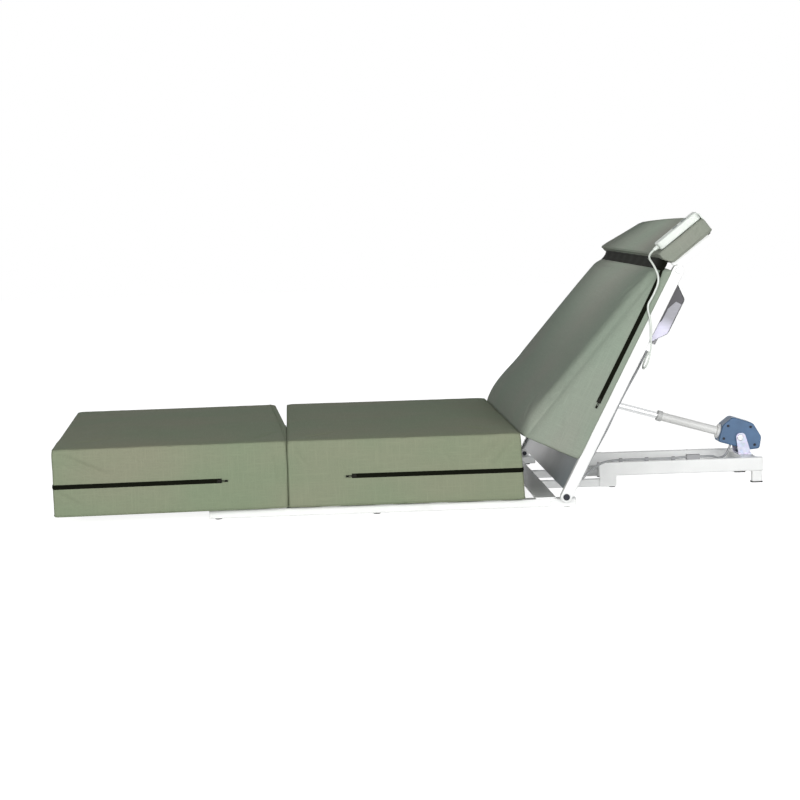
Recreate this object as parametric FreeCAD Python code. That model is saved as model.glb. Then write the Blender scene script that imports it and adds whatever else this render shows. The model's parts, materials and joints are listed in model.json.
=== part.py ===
# A motorized recliner bed: a low steel base, a folding mattress of four cushions,
# a back frame raised by a linear actuator, a tilting head rest and a corded handset.
# Millimetres and degrees. +X runs from the foot end to the head end, +Z is up,
# and the bed is symmetric about y = 0. The near side is -Y.
# The origin lies on the floor, under the seam between the leg and seat cushions.

import FreeCAD, Part
import math
import os

V = FreeCAD.Vector

# Cushions
BED_WIDTH = 900.0
LEG_LENGTH = 559.0
SEAT_LENGTH = 567.0
CUSHION_THICK = 163.0
CUSHION_CORNER = 11.0
CUSHION_EDGE = 8.0
LEG_SKEW = 2.9  # the leg cushion lies a little askew, so that a wedge gap opens at the far side
SEAM_GAP = 0.5
BACK_CUSHION_LENGTH = 498.0
BACK_CUSHION_DEEP = 154.5
BACK_CUSHION_THIN = 39.7
BACK_CUSHION_START = 92.5  # from the back hinge, up the rail
BACK_CUSHION_LEAN = 18.0  # how much longer it is at its rear face than at its front
HEAD_CUSHION_LENGTH = 142.0
HEAD_CUSHION_THICK = 40.0
HEAD_CUSHION_LEAN = 22.0  # how much shorter it is at its rear face, at its lower end
HEAD_CUSHION_CORNER = 11.0

# Zips, each a strip round one end of its cushion
ZIP_WIDE = 11.0
ZIP_PROUD = 1.5
MATTRESS_ZIP_HEIGHT = 73.0  # of its middle above the cushion's underside
LEG_ZIP_END = -158.0
SEAT_ZIP_START = 155.0
BACK_ZIP_START = 240.0
BACK_ZIP_HEIGHT = 19.5  # of its middle above the cushion's rear face
PULL_LENGTH = 11.0
PULL_TALL = 8.0
PULL_PROUD = 3.0
PULL_GAP = 0.3
TAB_LENGTH = 20.0
TAB_WIDE = 5.0
TAB_THICK = 1.4

# Base frame
GLIDE_TALL = 3.0
GLIDE_RADIUS = 9.0
BASE_TUBE_WIDE = 30.0
BASE_TUBE_TALL = 20.0
BASE_TUBE_CORNER = 3.0
TUBE_WALL = 1.6
BASE_FOOT_END = -190.0
BASE_HEAD_END = 700.0
SLAT_THICK = 4.0
SLAT_WIDE = 50.0
SLAT_COUNT = 7
REST_GAP = 0.3
CAP_THICK = 2.0
CAP_PLUG = 12.0
MIDDLE_TUBE_PLACES = (0.0, 215.0, 430.0)
HEAD_TUBE_AHEAD = 35.0  # of the back hinge
GLIDE_INSET = 20.0

# Sub-frame behind the back hinge
BEAM_CENTRE = 99.0
BEAM_WIDE = 20.0
BEAM_TALL = 35.0
BEAM_BOTTOM = 30.5
BEAM_START = 808.0
BEAM_END = 1236.0
DROP_TUBE_END = 852.0
RISER_THICK = 4.0
REAR_BAR_DEEP = 40.0
REAR_BAR_END = 8.0  # between the rear bar's rear face and the ends of the beams
FOOT_DEEP = 26.0
PAD_TALL = 3.0

# Back frame
HINGE_X = 675.0
HINGE_Z = 29.5
RAIL_ANGLE = 62.5
RAIL_DEEP = 28.0
RAIL_WIDE = 20.0
RAIL_INSET = 4.0  # of its outer face from the cushions' sides
RAIL_CORNER = 3.0
RAIL_WALL = 1.8
CROSSBAR_SIZE = 20.0
LOW_BAR_PLACE = 112.0
HIGH_BAR_PLACE = 400.0
TOP_BAR_BELOW = 14.5  # the back cushion's upper end
PANEL_THICK = 8.0
PANEL_MARGIN = 3.0

# Hinges
EAR_THICK = 4.0
EAR_RADIUS = 12.5
WASHER_THICK = 1.0
BOLT_RADIUS = 4.0
BOLT_HEAD_RADIUS = 8.0
BOLT_HEAD_TALL = 5.0
BOLT_TAIL_RADIUS = 6.0
BOLT_TAIL_TALL = 3.0
RUNNING_GAP = 0.06
SIDE_GAP = 0.3

# Head rest
HEAD_ANGLE = 37.85
HEAD_CUSHION_BELOW = 17.8  # from the head pivot down to the cushion's lower end
HEAD_GAP = 2.7  # between the head and back cushions when they lie in line
HEAD_PLANE = 22.6  # from the head pivot out to the cushion's rear face
HEAD_BOARD_THICK = 6.0
HEAD_BOARD_MARGIN = 3.0
ARM_THICK = 5.0
ARM_RADIUS = 12.0
ARM_LENGTH = 112.0
ARM_DEEP = 20.0
HEAD_BAR_PLACE = 62.0
HEAD_BAR_WIDE = 30.0
HEAD_BAR_THICK = 6.0

# Actuator, from its rear pin towards its front pin
FRONT_PIN_UP = 234.0
FRONT_PIN_BACK = 32.0
REAR_PIN_X = 1196.0
REAR_PIN_Z = 110.0
PIN_RADIUS = 5.0
PIN_HEAD_RADIUS = 8.5
PIN_HEAD_TALL = 3.0
HOUSING_FRONT = 52.0
HOUSING_REAR = 60.0
HOUSING_ABOVE = 47.0
HOUSING_BELOW = 26.0
HOUSING_HALF_WIDE = 29.0
HOUSING_EDGE = 4.0
HOUSING_BOSS_RADIUS = 13.0
HOUSING_BOSS_TALL = 1.5
SEAM_GROOVE = 1.2
FLANGE_RADIUS = 19.0
FLANGE_THICK = 7.0
TUBE_RADIUS = 11.5
TUBE_BORE = 9.8
GLAND_RADIUS = 14.0
GLAND_LENGTH = 14.0
GLAND_PLACE = 225.0  # its front face
ROD_RADIUS = 9.0
ROD_BORE = 6.0
ROD_IN_TUBE = 40.0
ROD_SOLID_END = 12.0
EYE_RADIUS = 13.0
EYE_HALF_WIDE = 9.5
EYE_BORE = 5.3
EYE_NECK = 24.0
NUT_THICK = 6.0
NUT_RADIUS = 11.5
SCREW_HEAD_RADIUS = 3.2
SCREW_HEAD_TALL = 1.6
SCREW_RECESS = 2.0
EAR_GAP = 2.5  # beside the rod's eye, where the linkage is open
FRONT_EAR_THICK = 4.0
FRONT_EAR_RADIUS = 11.0
FRONT_EAR_FOOT = 22.0  # half its length along the crossbar's face
STUB_GAP = 1.0
REAR_EAR_GAP = 0.8
REAR_EAR_THICK = 4.0
REAR_EAR_RADIUS = 12.0
BRACKET_BASE_THICK = 4.0

# Control box, hung behind the near rail
BOX_TOP = 582.0
BOX_TOP_REAR = 556.0
BOX_BOTTOM_REAR = 463.0
BOX_BOTTOM = 422.0
BOX_REAR = 50.0
BOX_INSET = 4.0  # of its side from the rail
BOX_WIDE = 76.0
BOX_CORNER = 5.0
CRADLE_THICK = 2.5
CRADLE_LIP = 22.0
CRADLE_SCREW_INSET = 13.0
CRADLE_SCREW_RADIUS = 4.5
CRADLE_SCREW_TALL = 2.6
PLUG_RADIUS = 6.0
PLUG_LENGTH = 16.0
PLUG_DEPTH = 33.0  # behind the rail's middle
HANDSET_PLUG_INSET = 28.0  # from the box's side beside the rail
MOTOR_PLUG_INSET = 56.0
GLAND_NUT_RADIUS = 8.0

# Handset, lying on the near edge of the head cushion
HANDSET_LENGTH = 122.0
HANDSET_WIDE = 44.0
HANDSET_THICK = 20.0
HANDSET_SPLIT = 9.0
HANDSET_CORNER = 9.0
HANDSET_EDGE = 3.0
HANDSET_INSET = 10.0  # of its near side from the cushion's
HANDSET_LOW = 0.0  # its lower end, below the head pivot
BUTTON_RADIUS = 7.5
BUTTON_TALL = 4.0
BUTTON_PROUD = 1.4
BUTTON_TRAVEL = 1.2
BUTTON_GAP = 0.25
BUTTON_PLACES = {"up": 88.0, "down": 62.0}
HOOK_WIDE = 14.0
HOOK_THICK = 3.0
HOOK_DROP = 20.0
BOOT_LENGTH = 12.0
BOOT_RADIUS = 4.0

# Cords
CORD_DIAMETER = 5.0
LEAD_DIAMETER = 6.0
ARC_SHARE = 0.45  # of the shorter straight run at a bend
CONNECTOR_PLACE = 1056.0
CONNECTOR_LENGTH = 34.0
CONNECTOR_WIDE = 16.0
CONNECTOR_TALL = 13.0
LEAD_LIFT = 1.2  # of the lead over the beam
CLIP_PLACES = (1004.0, 934.0, 866.0)
CLIP_LENGTH = 8.0
CLIP_GAP = 0.4

# Worked out from the sizes above
HALF_WIDTH = BED_WIDTH / 2
TUBE_TOP = GLIDE_TALL + BASE_TUBE_TALL
BASE_TOP = TUBE_TOP + SLAT_THICK
MATTRESS_BOTTOM = BASE_TOP + REST_GAP
RAIL_OUTER = HALF_WIDTH - RAIL_INSET
RAIL_INNER = RAIL_OUTER - RAIL_WIDE
EAR_OUTER = RAIL_INNER - WASHER_THICK
BASE_SIDE = EAR_OUTER - EAR_THICK
SIDE_TUBE_CENTRE = BASE_SIDE - BASE_TUBE_WIDE / 2
SIDE_TUBE_INNER = BASE_SIDE - BASE_TUBE_WIDE
BEAM_TOP = BEAM_BOTTOM + BEAM_TALL
LEAD_TOP = BEAM_TOP + LEAD_DIAMETER / 2 + LEAD_LIFT
CONNECTOR_MIDDLE = BEAM_TOP + CONNECTOR_TALL / 2
BEAM_INNER = BEAM_CENTRE - BEAM_WIDE / 2
BEAM_OUTER = BEAM_CENTRE + BEAM_WIDE / 2
RAIL_HALF = RAIL_DEEP / 2
PANEL_REAR = RAIL_HALF - PANEL_THICK
BACK_CUSHION_END = BACK_CUSHION_START + BACK_CUSHION_LENGTH
RAIL_LENGTH = BACK_CUSHION_END + HEAD_GAP + HEAD_CUSHION_BELOW  # hinge to head pivot
CROSSBAR_PLACES = (LOW_BAR_PLACE, FRONT_PIN_UP, HIGH_BAR_PLACE, BACK_CUSHION_END - TOP_BAR_BELOW)
CROSS_TUBE_PLACES = (
    BASE_FOOT_END + BASE_TUBE_WIDE / 2, *MIDDLE_TUBE_PLACES, HINGE_X - HEAD_TUBE_AHEAD,
)
BOX_OUTER = RAIL_INNER - BOX_INSET
HANDSET_PLUG_SIDE = BOX_OUTER - HANDSET_PLUG_INSET
MOTOR_PLUG_SIDE = BOX_OUTER - MOTOR_PLUG_INSET
HANDSET_SIDE = HALF_WIDTH - HANDSET_INSET
ARM_OUTER = RAIL_INNER - WASHER_THICK
ARM_INNER = ARM_OUTER - ARM_THICK
HEAD_BOARD_REAR = HEAD_PLANE - HEAD_BOARD_THICK
HEAD_CUSHION_TOP = HEAD_CUSHION_LENGTH - HEAD_CUSHION_BELOW
HEAD_CUSHION_REAR_END = HEAD_CUSHION_LEAN - HEAD_CUSHION_BELOW
HEAD_CUSHION_FACE = HEAD_PLANE + HEAD_CUSHION_THICK
HANDSET_REST = HEAD_CUSHION_FACE + REST_GAP
HANDSET_MIDDLE = HANDSET_REST + HANDSET_THICK / 2
HANDSET_CENTRE = HANDSET_WIDE / 2 - HANDSET_SIDE

# Rotations that lay a profile drawn across the length of a tube along X or along Y
ALONG_X = FreeCAD.Rotation(V(1, 1, 1), 120)
ALONG_Y = FreeCAD.Rotation(V(1, 1, 1), 240)
UP_Y = V(0, 1, 0)


def tilted(x, z, angle):
    """A placement that lifts a flat piece by angle about the Y axis, at (x, z)."""
    return FreeCAD.Placement(V(x, 0, z), FreeCAD.Rotation(UP_Y, -angle))


BACK = tilted(HINGE_X, HINGE_Z, RAIL_ANGLE)
HEAD_PIVOT = BACK.multVec(V(RAIL_LENGTH, 0, 0))
HEAD = tilted(HEAD_PIVOT.x, HEAD_PIVOT.z, HEAD_ANGLE)
FRONT_PIN = BACK.multVec(V(FRONT_PIN_UP, 0, -FRONT_PIN_BACK))
PIN_TO_PIN = math.hypot(REAR_PIN_X - FRONT_PIN.x, FRONT_PIN.z - REAR_PIN_Z)
ACTUATOR_ANGLE = math.degrees(
    math.atan2(FRONT_PIN.z - REAR_PIN_Z, REAR_PIN_X - FRONT_PIN.x)
)
# Where the handset's cord leaves the head rest and goes on with the back; it hangs there
CORD_SPLIT = V(900, -457, 530)
CORD_HEADING = V(0.04, 0, -1)
# In the actuator's own frame +X runs from the rear pin to the front pin
ACTUATOR = FreeCAD.Placement(
    V(REAR_PIN_X, 0, REAR_PIN_Z),
    FreeCAD.Rotation(UP_Y, ACTUATOR_ANGLE) * FreeCAD.Rotation(V(0, 0, 1), 180),
)


def block(x0, x1, y0, y1, z0, z1):
    return Part.makeBox(x1 - x0, y1 - y0, z1 - z0, V(x0, y0, z0))


def rod(start, direction, radius, length):
    return Part.makeCylinder(radius, length, start, direction)


def along_x(start, radius, length):
    """A cylinder round the X axis."""
    return rod(V(start, 0, 0), V(1, 0, 0), radius, length)


def across(x, z, radius, y0, y1):
    """A cylinder along Y between y0 and y1."""
    low, high = sorted((y0, y1))
    return rod(V(x, low, z), UP_Y, radius, high - low)


def both_sides(make):
    """The solids that make gives for the near side and the far side."""
    return [make(side) for side in (-1, 1)]


def side_block(side, x0, x1, y0, y1, z0, z1):
    """A block between y0 and y1 from the middle, on one side."""
    low, high = sorted((side * y0, side * y1))
    return block(x0, x1, low, high, z0, z1)


def fused(solids):
    whole = solids[0].fuse(solids[1:])
    return whole.removeSplitter().Solids[0]


def arc_between(before, corner, after, radius):
    """The arc that rounds a corner, as (start, middle, end)."""
    to_before = (before - corner).normalize()
    to_after = (after - corner).normalize()
    half = to_before.getAngle(to_after) / 2
    reach = radius / math.tan(half)
    bisector = (to_before + to_after).normalize()
    middle = corner + bisector * (radius / math.sin(half) - radius)
    return corner + to_before * reach, middle, corner + to_after * reach


def rounded_outline(points, radii):
    """A closed wire through points, each corner rounded by its own radius; 0 leaves it sharp."""
    edges = []
    count = len(points)
    arcs = []
    for n, corner in enumerate(points):
        if radii[n]:
            arcs.append(arc_between(points[n - 1], corner, points[(n + 1) % count], radii[n]))
        else:
            arcs.append((corner, None, corner))
    for n, (start, middle, end) in enumerate(arcs):
        if middle is not None:
            edges.append(Part.Arc(start, middle, end).toShape())
        following = arcs[(n + 1) % count][0]
        if end.distanceToPoint(following) > 1e-6:
            edges.append(Part.LineSegment(end, following).toShape())
    return Part.Wire(edges)


def side_prism(profile, radii, y0, y1):
    """A prism along Y from (x, z) profile points, between y0 and y1."""
    low, high = sorted((y0, y1))
    points = [V(x, low, z) for x, z in profile]
    return Part.Face(rounded_outline(points, radii)).extrude(V(0, high - low, 0))


def plan_face(x0, x1, y0, y1, z, corner):
    points = [V(x0, y0, z), V(x1, y0, z), V(x1, y1, z), V(x0, y1, z)]
    return Part.Face(rounded_outline(points, [corner] * 4))


def section(wide, tall, corner):
    """A rounded rectangle about the origin, in the XY plane."""
    face = plan_face(-wide / 2, wide / 2, -tall / 2, tall / 2, 0, corner)
    return face


def straight_tube(start, rotation, length, wide, tall, corner, wall):
    """A hollow rectangular tube; wide and tall lie across it, and start is its end's centre."""
    outer = section(wide, tall, corner)
    inner = section(wide - 2 * wall, tall - 2 * wall, max(corner - wall, wall / 2))
    tube = outer.extrude(V(0, 0, length)).cut(inner.extrude(V(0, 0, length)))
    tube.Placement = FreeCAD.Placement(start, rotation)
    return tube.Solids[0]


def tube_along_x(x0, x1, y, z, wide, tall, corner=BASE_TUBE_CORNER, wall=TUBE_WALL):
    return straight_tube(V(x0, y, z), ALONG_X, x1 - x0, wide, tall, corner, wall)


def tube_along_y(x, y0, y1, z, deep, tall, corner=BASE_TUBE_CORNER, wall=TUBE_WALL):
    return straight_tube(V(x, y0, z), ALONG_Y, y1 - y0, tall, deep, corner, wall)


def placed(solids, placement):
    moved = []
    for solid in solids:
        copy = solid.copy()
        copy.Placement = placement.multiply(copy.Placement)
        moved.append(copy)
    return moved


def soft_block(prism, edge):
    """A cushion's solid: every edge of its prism that lies across the upright corners is rounded."""
    rounded = [e for e in prism.Edges if not is_upright(e)]
    return prism.makeFillet(edge, rounded).Solids[0]


def is_upright(edge):
    start, end = edge.Vertexes[0].Point, edge.Vertexes[-1].Point
    return abs(start.x - end.x) < 1e-6 and abs(start.y - end.y) < 1e-6 and abs(start.z - end.z) > 1e-6


def flat_cushion(x0, x1, half_width, z0, z1, corner):
    prism = plan_face(x0, x1, -half_width, half_width, z0, corner).extrude(V(0, 0, z1 - z0))
    return soft_block(prism, CUSHION_EDGE)


def zip_strip(x0, x1, corner, z, start, stop):
    """A strip standing proud of a cushion's upright sides, kept between start and stop along X."""
    low = z - ZIP_WIDE / 2
    inner = plan_face(x0, x1, -HALF_WIDTH, HALF_WIDTH, low, corner)
    outer = plan_face(
        x0 - ZIP_PROUD, x1 + ZIP_PROUD,
        -HALF_WIDTH - ZIP_PROUD, HALF_WIDTH + ZIP_PROUD,
        low, corner + ZIP_PROUD,
    )
    band = outer.extrude(V(0, 0, ZIP_WIDE)).cut(inner.extrude(V(0, 0, ZIP_WIDE)))
    wide = HALF_WIDTH + 2 * ZIP_PROUD
    keep = block(start, stop, -wide, wide, low - 1, low + ZIP_WIDE + 1)
    return band.common(keep).Solids[0]


def zip_pull(x, z, towards):
    """A slider over the near zip at x, with its tab lying along the zip, towards -1 or +1 in X."""
    face = -HALF_WIDTH - ZIP_PROUD - PULL_GAP
    low, high = sorted((x, x + towards * PULL_LENGTH))
    body = block(low, high, face - PULL_PROUD, face, z - PULL_TALL / 2, z + PULL_TALL / 2)
    uprights = [e for e in body.Edges if abs(e.tangentAt(0).y) > 0.9]
    body = body.makeFillet(PULL_TALL / 4, uprights)
    tab_start = low + PULL_LENGTH / 2 if towards > 0 else high - PULL_LENGTH / 2
    tab_low, tab_high = sorted((tab_start, tab_start + towards * TAB_LENGTH))
    tab = block(
        tab_low, tab_high,
        face - PULL_PROUD, face - PULL_PROUD + TAB_THICK,
        z - TAB_WIDE / 2, z + TAB_WIDE / 2,
    )
    return fused([body, tab])


def hinge_bolt(side, x, z, outer, inner):
    """A pivot bolt along Y: its head outside outer, its riveted tail inside inner."""
    under_head = outer + SIDE_GAP
    top = under_head + BOLT_HEAD_TALL
    head = across(x, z, BOLT_HEAD_RADIUS, side * under_head, side * top)
    rim = [e for e in head.Edges if abs(abs(e.CenterOfMass.y) - top) < 0.01]
    head = head.makeFillet(BOLT_HEAD_TALL * 0.4, rim)
    shank = across(x, z, BOLT_RADIUS, side * (inner - BOLT_TAIL_TALL), side * under_head)
    tail = across(x, z, BOLT_TAIL_RADIUS, side * (inner - BOLT_TAIL_TALL), side * inner)
    return fused([head, shank, tail])


def washer(side, x, z, y0, y1, radius, bore):
    ring = across(x, z, radius, side * y0, side * y1)
    return ring.cut(across(x, z, bore, side * y0, side * y1)).Solids[0]


# Base frame


def base_side_tubes():
    def one(side):
        return tube_along_x(
            BASE_FOOT_END, BASE_HEAD_END, side * SIDE_TUBE_CENTRE,
            GLIDE_TALL + BASE_TUBE_TALL / 2, BASE_TUBE_WIDE, BASE_TUBE_TALL,
        )
    return both_sides(one)


def base_cross_tubes():
    z = GLIDE_TALL + BASE_TUBE_TALL / 2
    return [
        tube_along_y(x, -SIDE_TUBE_INNER, SIDE_TUBE_INNER, z, BASE_TUBE_WIDE, BASE_TUBE_TALL)
        for x in CROSS_TUBE_PLACES
    ]


def end_cap(x, y, z, wide, tall, outwards):
    """A plastic plug closing a tube that runs along X."""
    plate = section(wide, tall, BASE_TUBE_CORNER).extrude(V(0, 0, CAP_THICK))
    shrink = 2 * TUBE_WALL + 2 * RUNNING_GAP
    plug = section(wide - shrink, tall - shrink, BASE_TUBE_CORNER / 2).extrude(V(0, 0, -CAP_PLUG))
    cap = fused([plate, plug])
    turn = ALONG_X if outwards > 0 else FreeCAD.Rotation(V(0, 0, 1), 180) * ALONG_X
    cap.Placement = FreeCAD.Placement(V(x, y, z), turn)
    return cap


def tube_end_caps():
    caps = []
    for side in (-1, 1):
        y = side * SIDE_TUBE_CENTRE
        z = GLIDE_TALL + BASE_TUBE_TALL / 2
        caps.append(end_cap(BASE_FOOT_END, y, z, BASE_TUBE_WIDE, BASE_TUBE_TALL, -1))
        caps.append(end_cap(BASE_HEAD_END, y, z, BASE_TUBE_WIDE, BASE_TUBE_TALL, 1))
        beam_y = side * BEAM_CENTRE
        beam_z = BEAM_BOTTOM + BEAM_TALL / 2
        caps.append(end_cap(BEAM_START, beam_y, beam_z, BEAM_WIDE, BEAM_TALL, -1))
        caps.append(end_cap(BEAM_END, beam_y, beam_z, BEAM_WIDE, BEAM_TALL, 1))
    return caps


def base_slats():
    first = BASE_FOOT_END + SLAT_WIDE / 2 + 5
    last = HINGE_X - EAR_RADIUS - SLAT_WIDE / 2 - 10
    step = (last - first) / (SLAT_COUNT - 1)
    slats = []
    for n in range(SLAT_COUNT):
        x = first + n * step
        slat = plan_face(x - SLAT_WIDE / 2, x + SLAT_WIDE / 2, -BASE_SIDE, BASE_SIDE, TUBE_TOP, 6)
        slats.append(slat.extrude(V(0, 0, SLAT_THICK)))
    return slats


def glide(x, y):
    return rod(V(x, y, 0), V(0, 0, 1), GLIDE_RADIUS, GLIDE_TALL)


def base_glides():
    """Rubber glides under the side tubes, the middle cross tube and the drop tubes."""
    glides = [glide(0, 0)]
    for side in (-1, 1):
        for x in (BASE_FOOT_END + GLIDE_INSET, MIDDLE_TUBE_PLACES[1], BASE_HEAD_END - GLIDE_INSET):
            glides.append(glide(x, side * SIDE_TUBE_CENTRE))
        glides.append(glide(DROP_TUBE_END - GLIDE_INSET / 2, side * BEAM_CENTRE))
    return glides


def riser_plates():
    """Welded plates that lift each beam off its drop tube."""
    def one(side):
        plate = side_block(
            side, BEAM_START, DROP_TUBE_END, BEAM_OUTER, BEAM_OUTER + RISER_THICK, GLIDE_TALL, BEAM_TOP
        )
        uprights = [e for e in plate.Edges if abs(e.tangentAt(0).y) > 0.9]
        return plate.makeFillet(5, uprights).Solids[0]
    return both_sides(one)


def drop_tubes():
    """Low tubes that carry the base back under the beams, with their riser plates."""
    start = CROSS_TUBE_PLACES[-1] + BASE_TUBE_WIDE / 2
    z = GLIDE_TALL + BASE_TUBE_TALL / 2
    tubes = both_sides(
        lambda side: tube_along_x(start, DROP_TUBE_END, side * BEAM_CENTRE, z, BEAM_WIDE, BASE_TUBE_TALL)
    )
    return tubes + riser_plates()


def rear_beams():
    z = BEAM_BOTTOM + BEAM_TALL / 2
    return both_sides(
        lambda side: tube_along_x(BEAM_START, BEAM_END, side * BEAM_CENTRE, z, BEAM_WIDE, BEAM_TALL)
    )


def rear_bar():
    x = BEAM_END - REAR_BAR_END - REAR_BAR_DEEP / 2
    z = BEAM_BOTTOM + BEAM_TALL / 2
    return [tube_along_y(x, -BEAM_INNER, BEAM_INNER, z, REAR_BAR_DEEP, BEAM_TALL)]


def rear_feet():
    def one(side):
        foot = plan_face(
            BEAM_END - FOOT_DEEP, BEAM_END,
            side * BEAM_CENTRE - BEAM_WIDE / 2, side * BEAM_CENTRE + BEAM_WIDE / 2,
            PAD_TALL, 3,
        )
        return foot.extrude(V(0, 0, BEAM_BOTTOM - PAD_TALL))
    return both_sides(one)


def rear_foot_pads():
    def one(side):
        pad = plan_face(
            BEAM_END - FOOT_DEEP - 2, BEAM_END + 2,
            side * BEAM_CENTRE - BEAM_WIDE / 2 - 2, side * BEAM_CENTRE + BEAM_WIDE / 2 + 2,
            0, 5,
        )
        return pad.extrude(V(0, 0, PAD_TALL))
    return both_sides(one)


def hinge_ears():
    """Plates on the side tubes' outer faces that carry the back hinge."""
    def one(side):
        foot = 3 * EAR_RADIUS
        rise = side_prism(
            [
                (HINGE_X - foot, GLIDE_TALL), (HINGE_X + foot / 1.5, GLIDE_TALL),
                (HINGE_X + foot / 1.5, GLIDE_TALL + 12), (HINGE_X + EAR_RADIUS, TUBE_TOP),
                (HINGE_X - EAR_RADIUS, TUBE_TOP), (HINGE_X - foot, GLIDE_TALL + 12),
            ],
            [0, 0, 3, 0, 0, 3], side * BASE_SIDE, side * EAR_OUTER,
        )
        neck = side_block(
            side, HINGE_X - EAR_RADIUS, HINGE_X + EAR_RADIUS, BASE_SIDE, EAR_OUTER, TUBE_TOP, HINGE_Z
        )
        crown = across(HINGE_X, HINGE_Z, EAR_RADIUS, side * BASE_SIDE, side * EAR_OUTER)
        bore = across(HINGE_X, HINGE_Z, BOLT_RADIUS, side * BASE_SIDE, side * EAR_OUTER)
        return fused([rise, neck, crown]).cut(bore).Solids[0]
    return both_sides(one)


def hinge_bolts():
    return both_sides(lambda side: hinge_bolt(side, HINGE_X, HINGE_Z, RAIL_OUTER, BASE_SIDE))


def hinge_washers():
    return both_sides(
        lambda side: washer(
            side, HINGE_X, HINGE_Z, EAR_OUTER, RAIL_INNER - SIDE_GAP, EAR_RADIUS - 2, BOLT_RADIUS
        )
    )


def rear_bracket():
    """A folded bracket on the rear bar: a base plate and two ears about the actuator's housing."""
    inner = HOUSING_HALF_WIDE + HOUSING_BOSS_TALL + REAR_EAR_GAP
    outer = inner + REAR_EAR_THICK
    bar_x = BEAM_END - REAR_BAR_END - REAR_BAR_DEEP / 2
    bar_half = REAR_BAR_DEEP / 2 - BASE_TUBE_CORNER
    base = block(bar_x - bar_half, bar_x + bar_half, -outer, outer, BEAM_TOP, BEAM_TOP + BRACKET_BASE_THICK)
    solids = [base]
    for side in (-1, 1):
        ear = side_prism(
            [
                (bar_x - bar_half, BEAM_TOP), (bar_x + bar_half, BEAM_TOP),
                (REAR_PIN_X + REAR_EAR_RADIUS, REAR_PIN_Z + REAR_EAR_RADIUS),
                (REAR_PIN_X - REAR_EAR_RADIUS, REAR_PIN_Z + REAR_EAR_RADIUS),
            ],
            [0, 0, REAR_EAR_RADIUS * 0.9, REAR_EAR_RADIUS * 0.9], side * inner, side * outer,
        )
        solids.append(ear)
    bore = across(REAR_PIN_X, REAR_PIN_Z, PIN_RADIUS, -outer, outer)
    return [fused(solids).cut(bore).Solids[0]]


def clevis_pin():
    """A clevis pin with a domed head on the near side and a clip groove on the far side."""
    reach = HOUSING_HALF_WIDE + HOUSING_BOSS_TALL + REAR_EAR_GAP + REAR_EAR_THICK
    shank = across(REAR_PIN_X, REAR_PIN_Z, PIN_RADIUS, -reach, reach + 6)
    head = across(REAR_PIN_X, REAR_PIN_Z, PIN_HEAD_RADIUS, -reach - PIN_HEAD_TALL, -reach)
    rim = [e for e in head.Edges if abs(e.CenterOfMass.y + reach + PIN_HEAD_TALL) < 0.01]
    head = head.makeFillet(PIN_HEAD_TALL * 0.6, rim)
    groove = washer(1, REAR_PIN_X, REAR_PIN_Z, reach + 0.5, reach + 2, PIN_RADIUS + 1, PIN_RADIUS - 1)
    return fused([shank, head]).cut(groove).Solids[0]


def snap_ring():
    reach = HOUSING_HALF_WIDE + HOUSING_BOSS_TALL + REAR_EAR_GAP + REAR_EAR_THICK
    ring = washer(1, REAR_PIN_X, REAR_PIN_Z, reach + 0.5, reach + 2, PIN_RADIUS + 3, PIN_RADIUS - 1)
    mouth = block(
        REAR_PIN_X - 3, REAR_PIN_X + 3, reach, reach + 3,
        REAR_PIN_Z - PIN_RADIUS - 5, REAR_PIN_Z - PIN_RADIUS + 1.5,
    )
    return ring.cut(mouth).Solids[0]


def rear_pin():
    return [clevis_pin(), snap_ring()]


# Mattress


def leg_frame():
    """The leg cushion turns about its near corner at the seam."""
    corner = V(-SEAM_GAP, -HALF_WIDTH, 0)
    turn = FreeCAD.Rotation(V(0, 0, 1), LEG_SKEW)
    return FreeCAD.Placement(V(0, 0, 0), turn, corner)


def leg_cushion():
    cushion = flat_cushion(
        -SEAM_GAP - LEG_LENGTH, -SEAM_GAP, HALF_WIDTH,
        MATTRESS_BOTTOM, MATTRESS_BOTTOM + CUSHION_THICK, CUSHION_CORNER,
    )
    return placed([cushion], leg_frame())


def seat_cushion():
    return [
        flat_cushion(
            0, SEAT_LENGTH, HALF_WIDTH,
            MATTRESS_BOTTOM, MATTRESS_BOTTOM + CUSHION_THICK, CUSHION_CORNER,
        )
    ]


def leg_zip():
    z = MATTRESS_BOTTOM + MATTRESS_ZIP_HEIGHT
    foot = -SEAM_GAP - LEG_LENGTH
    strip = zip_strip(foot, -SEAM_GAP, CUSHION_CORNER, z, foot - 2 * ZIP_PROUD, LEG_ZIP_END)
    return placed([strip], leg_frame())


def seat_zip():
    z = MATTRESS_BOTTOM + MATTRESS_ZIP_HEIGHT
    return [zip_strip(0, SEAT_LENGTH, CUSHION_CORNER, z, SEAT_ZIP_START, SEAT_LENGTH + 2 * ZIP_PROUD)]


def leg_zip_pull():
    z = MATTRESS_BOTTOM + MATTRESS_ZIP_HEIGHT
    return placed([zip_pull(LEG_ZIP_END - PULL_LENGTH, z, 1)], leg_frame())


def seat_zip_pull():
    return [zip_pull(SEAT_ZIP_START + PULL_LENGTH, MATTRESS_BOTTOM + MATTRESS_ZIP_HEIGHT, -1)]


# Back, drawn flat along X from the hinge and then raised


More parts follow.
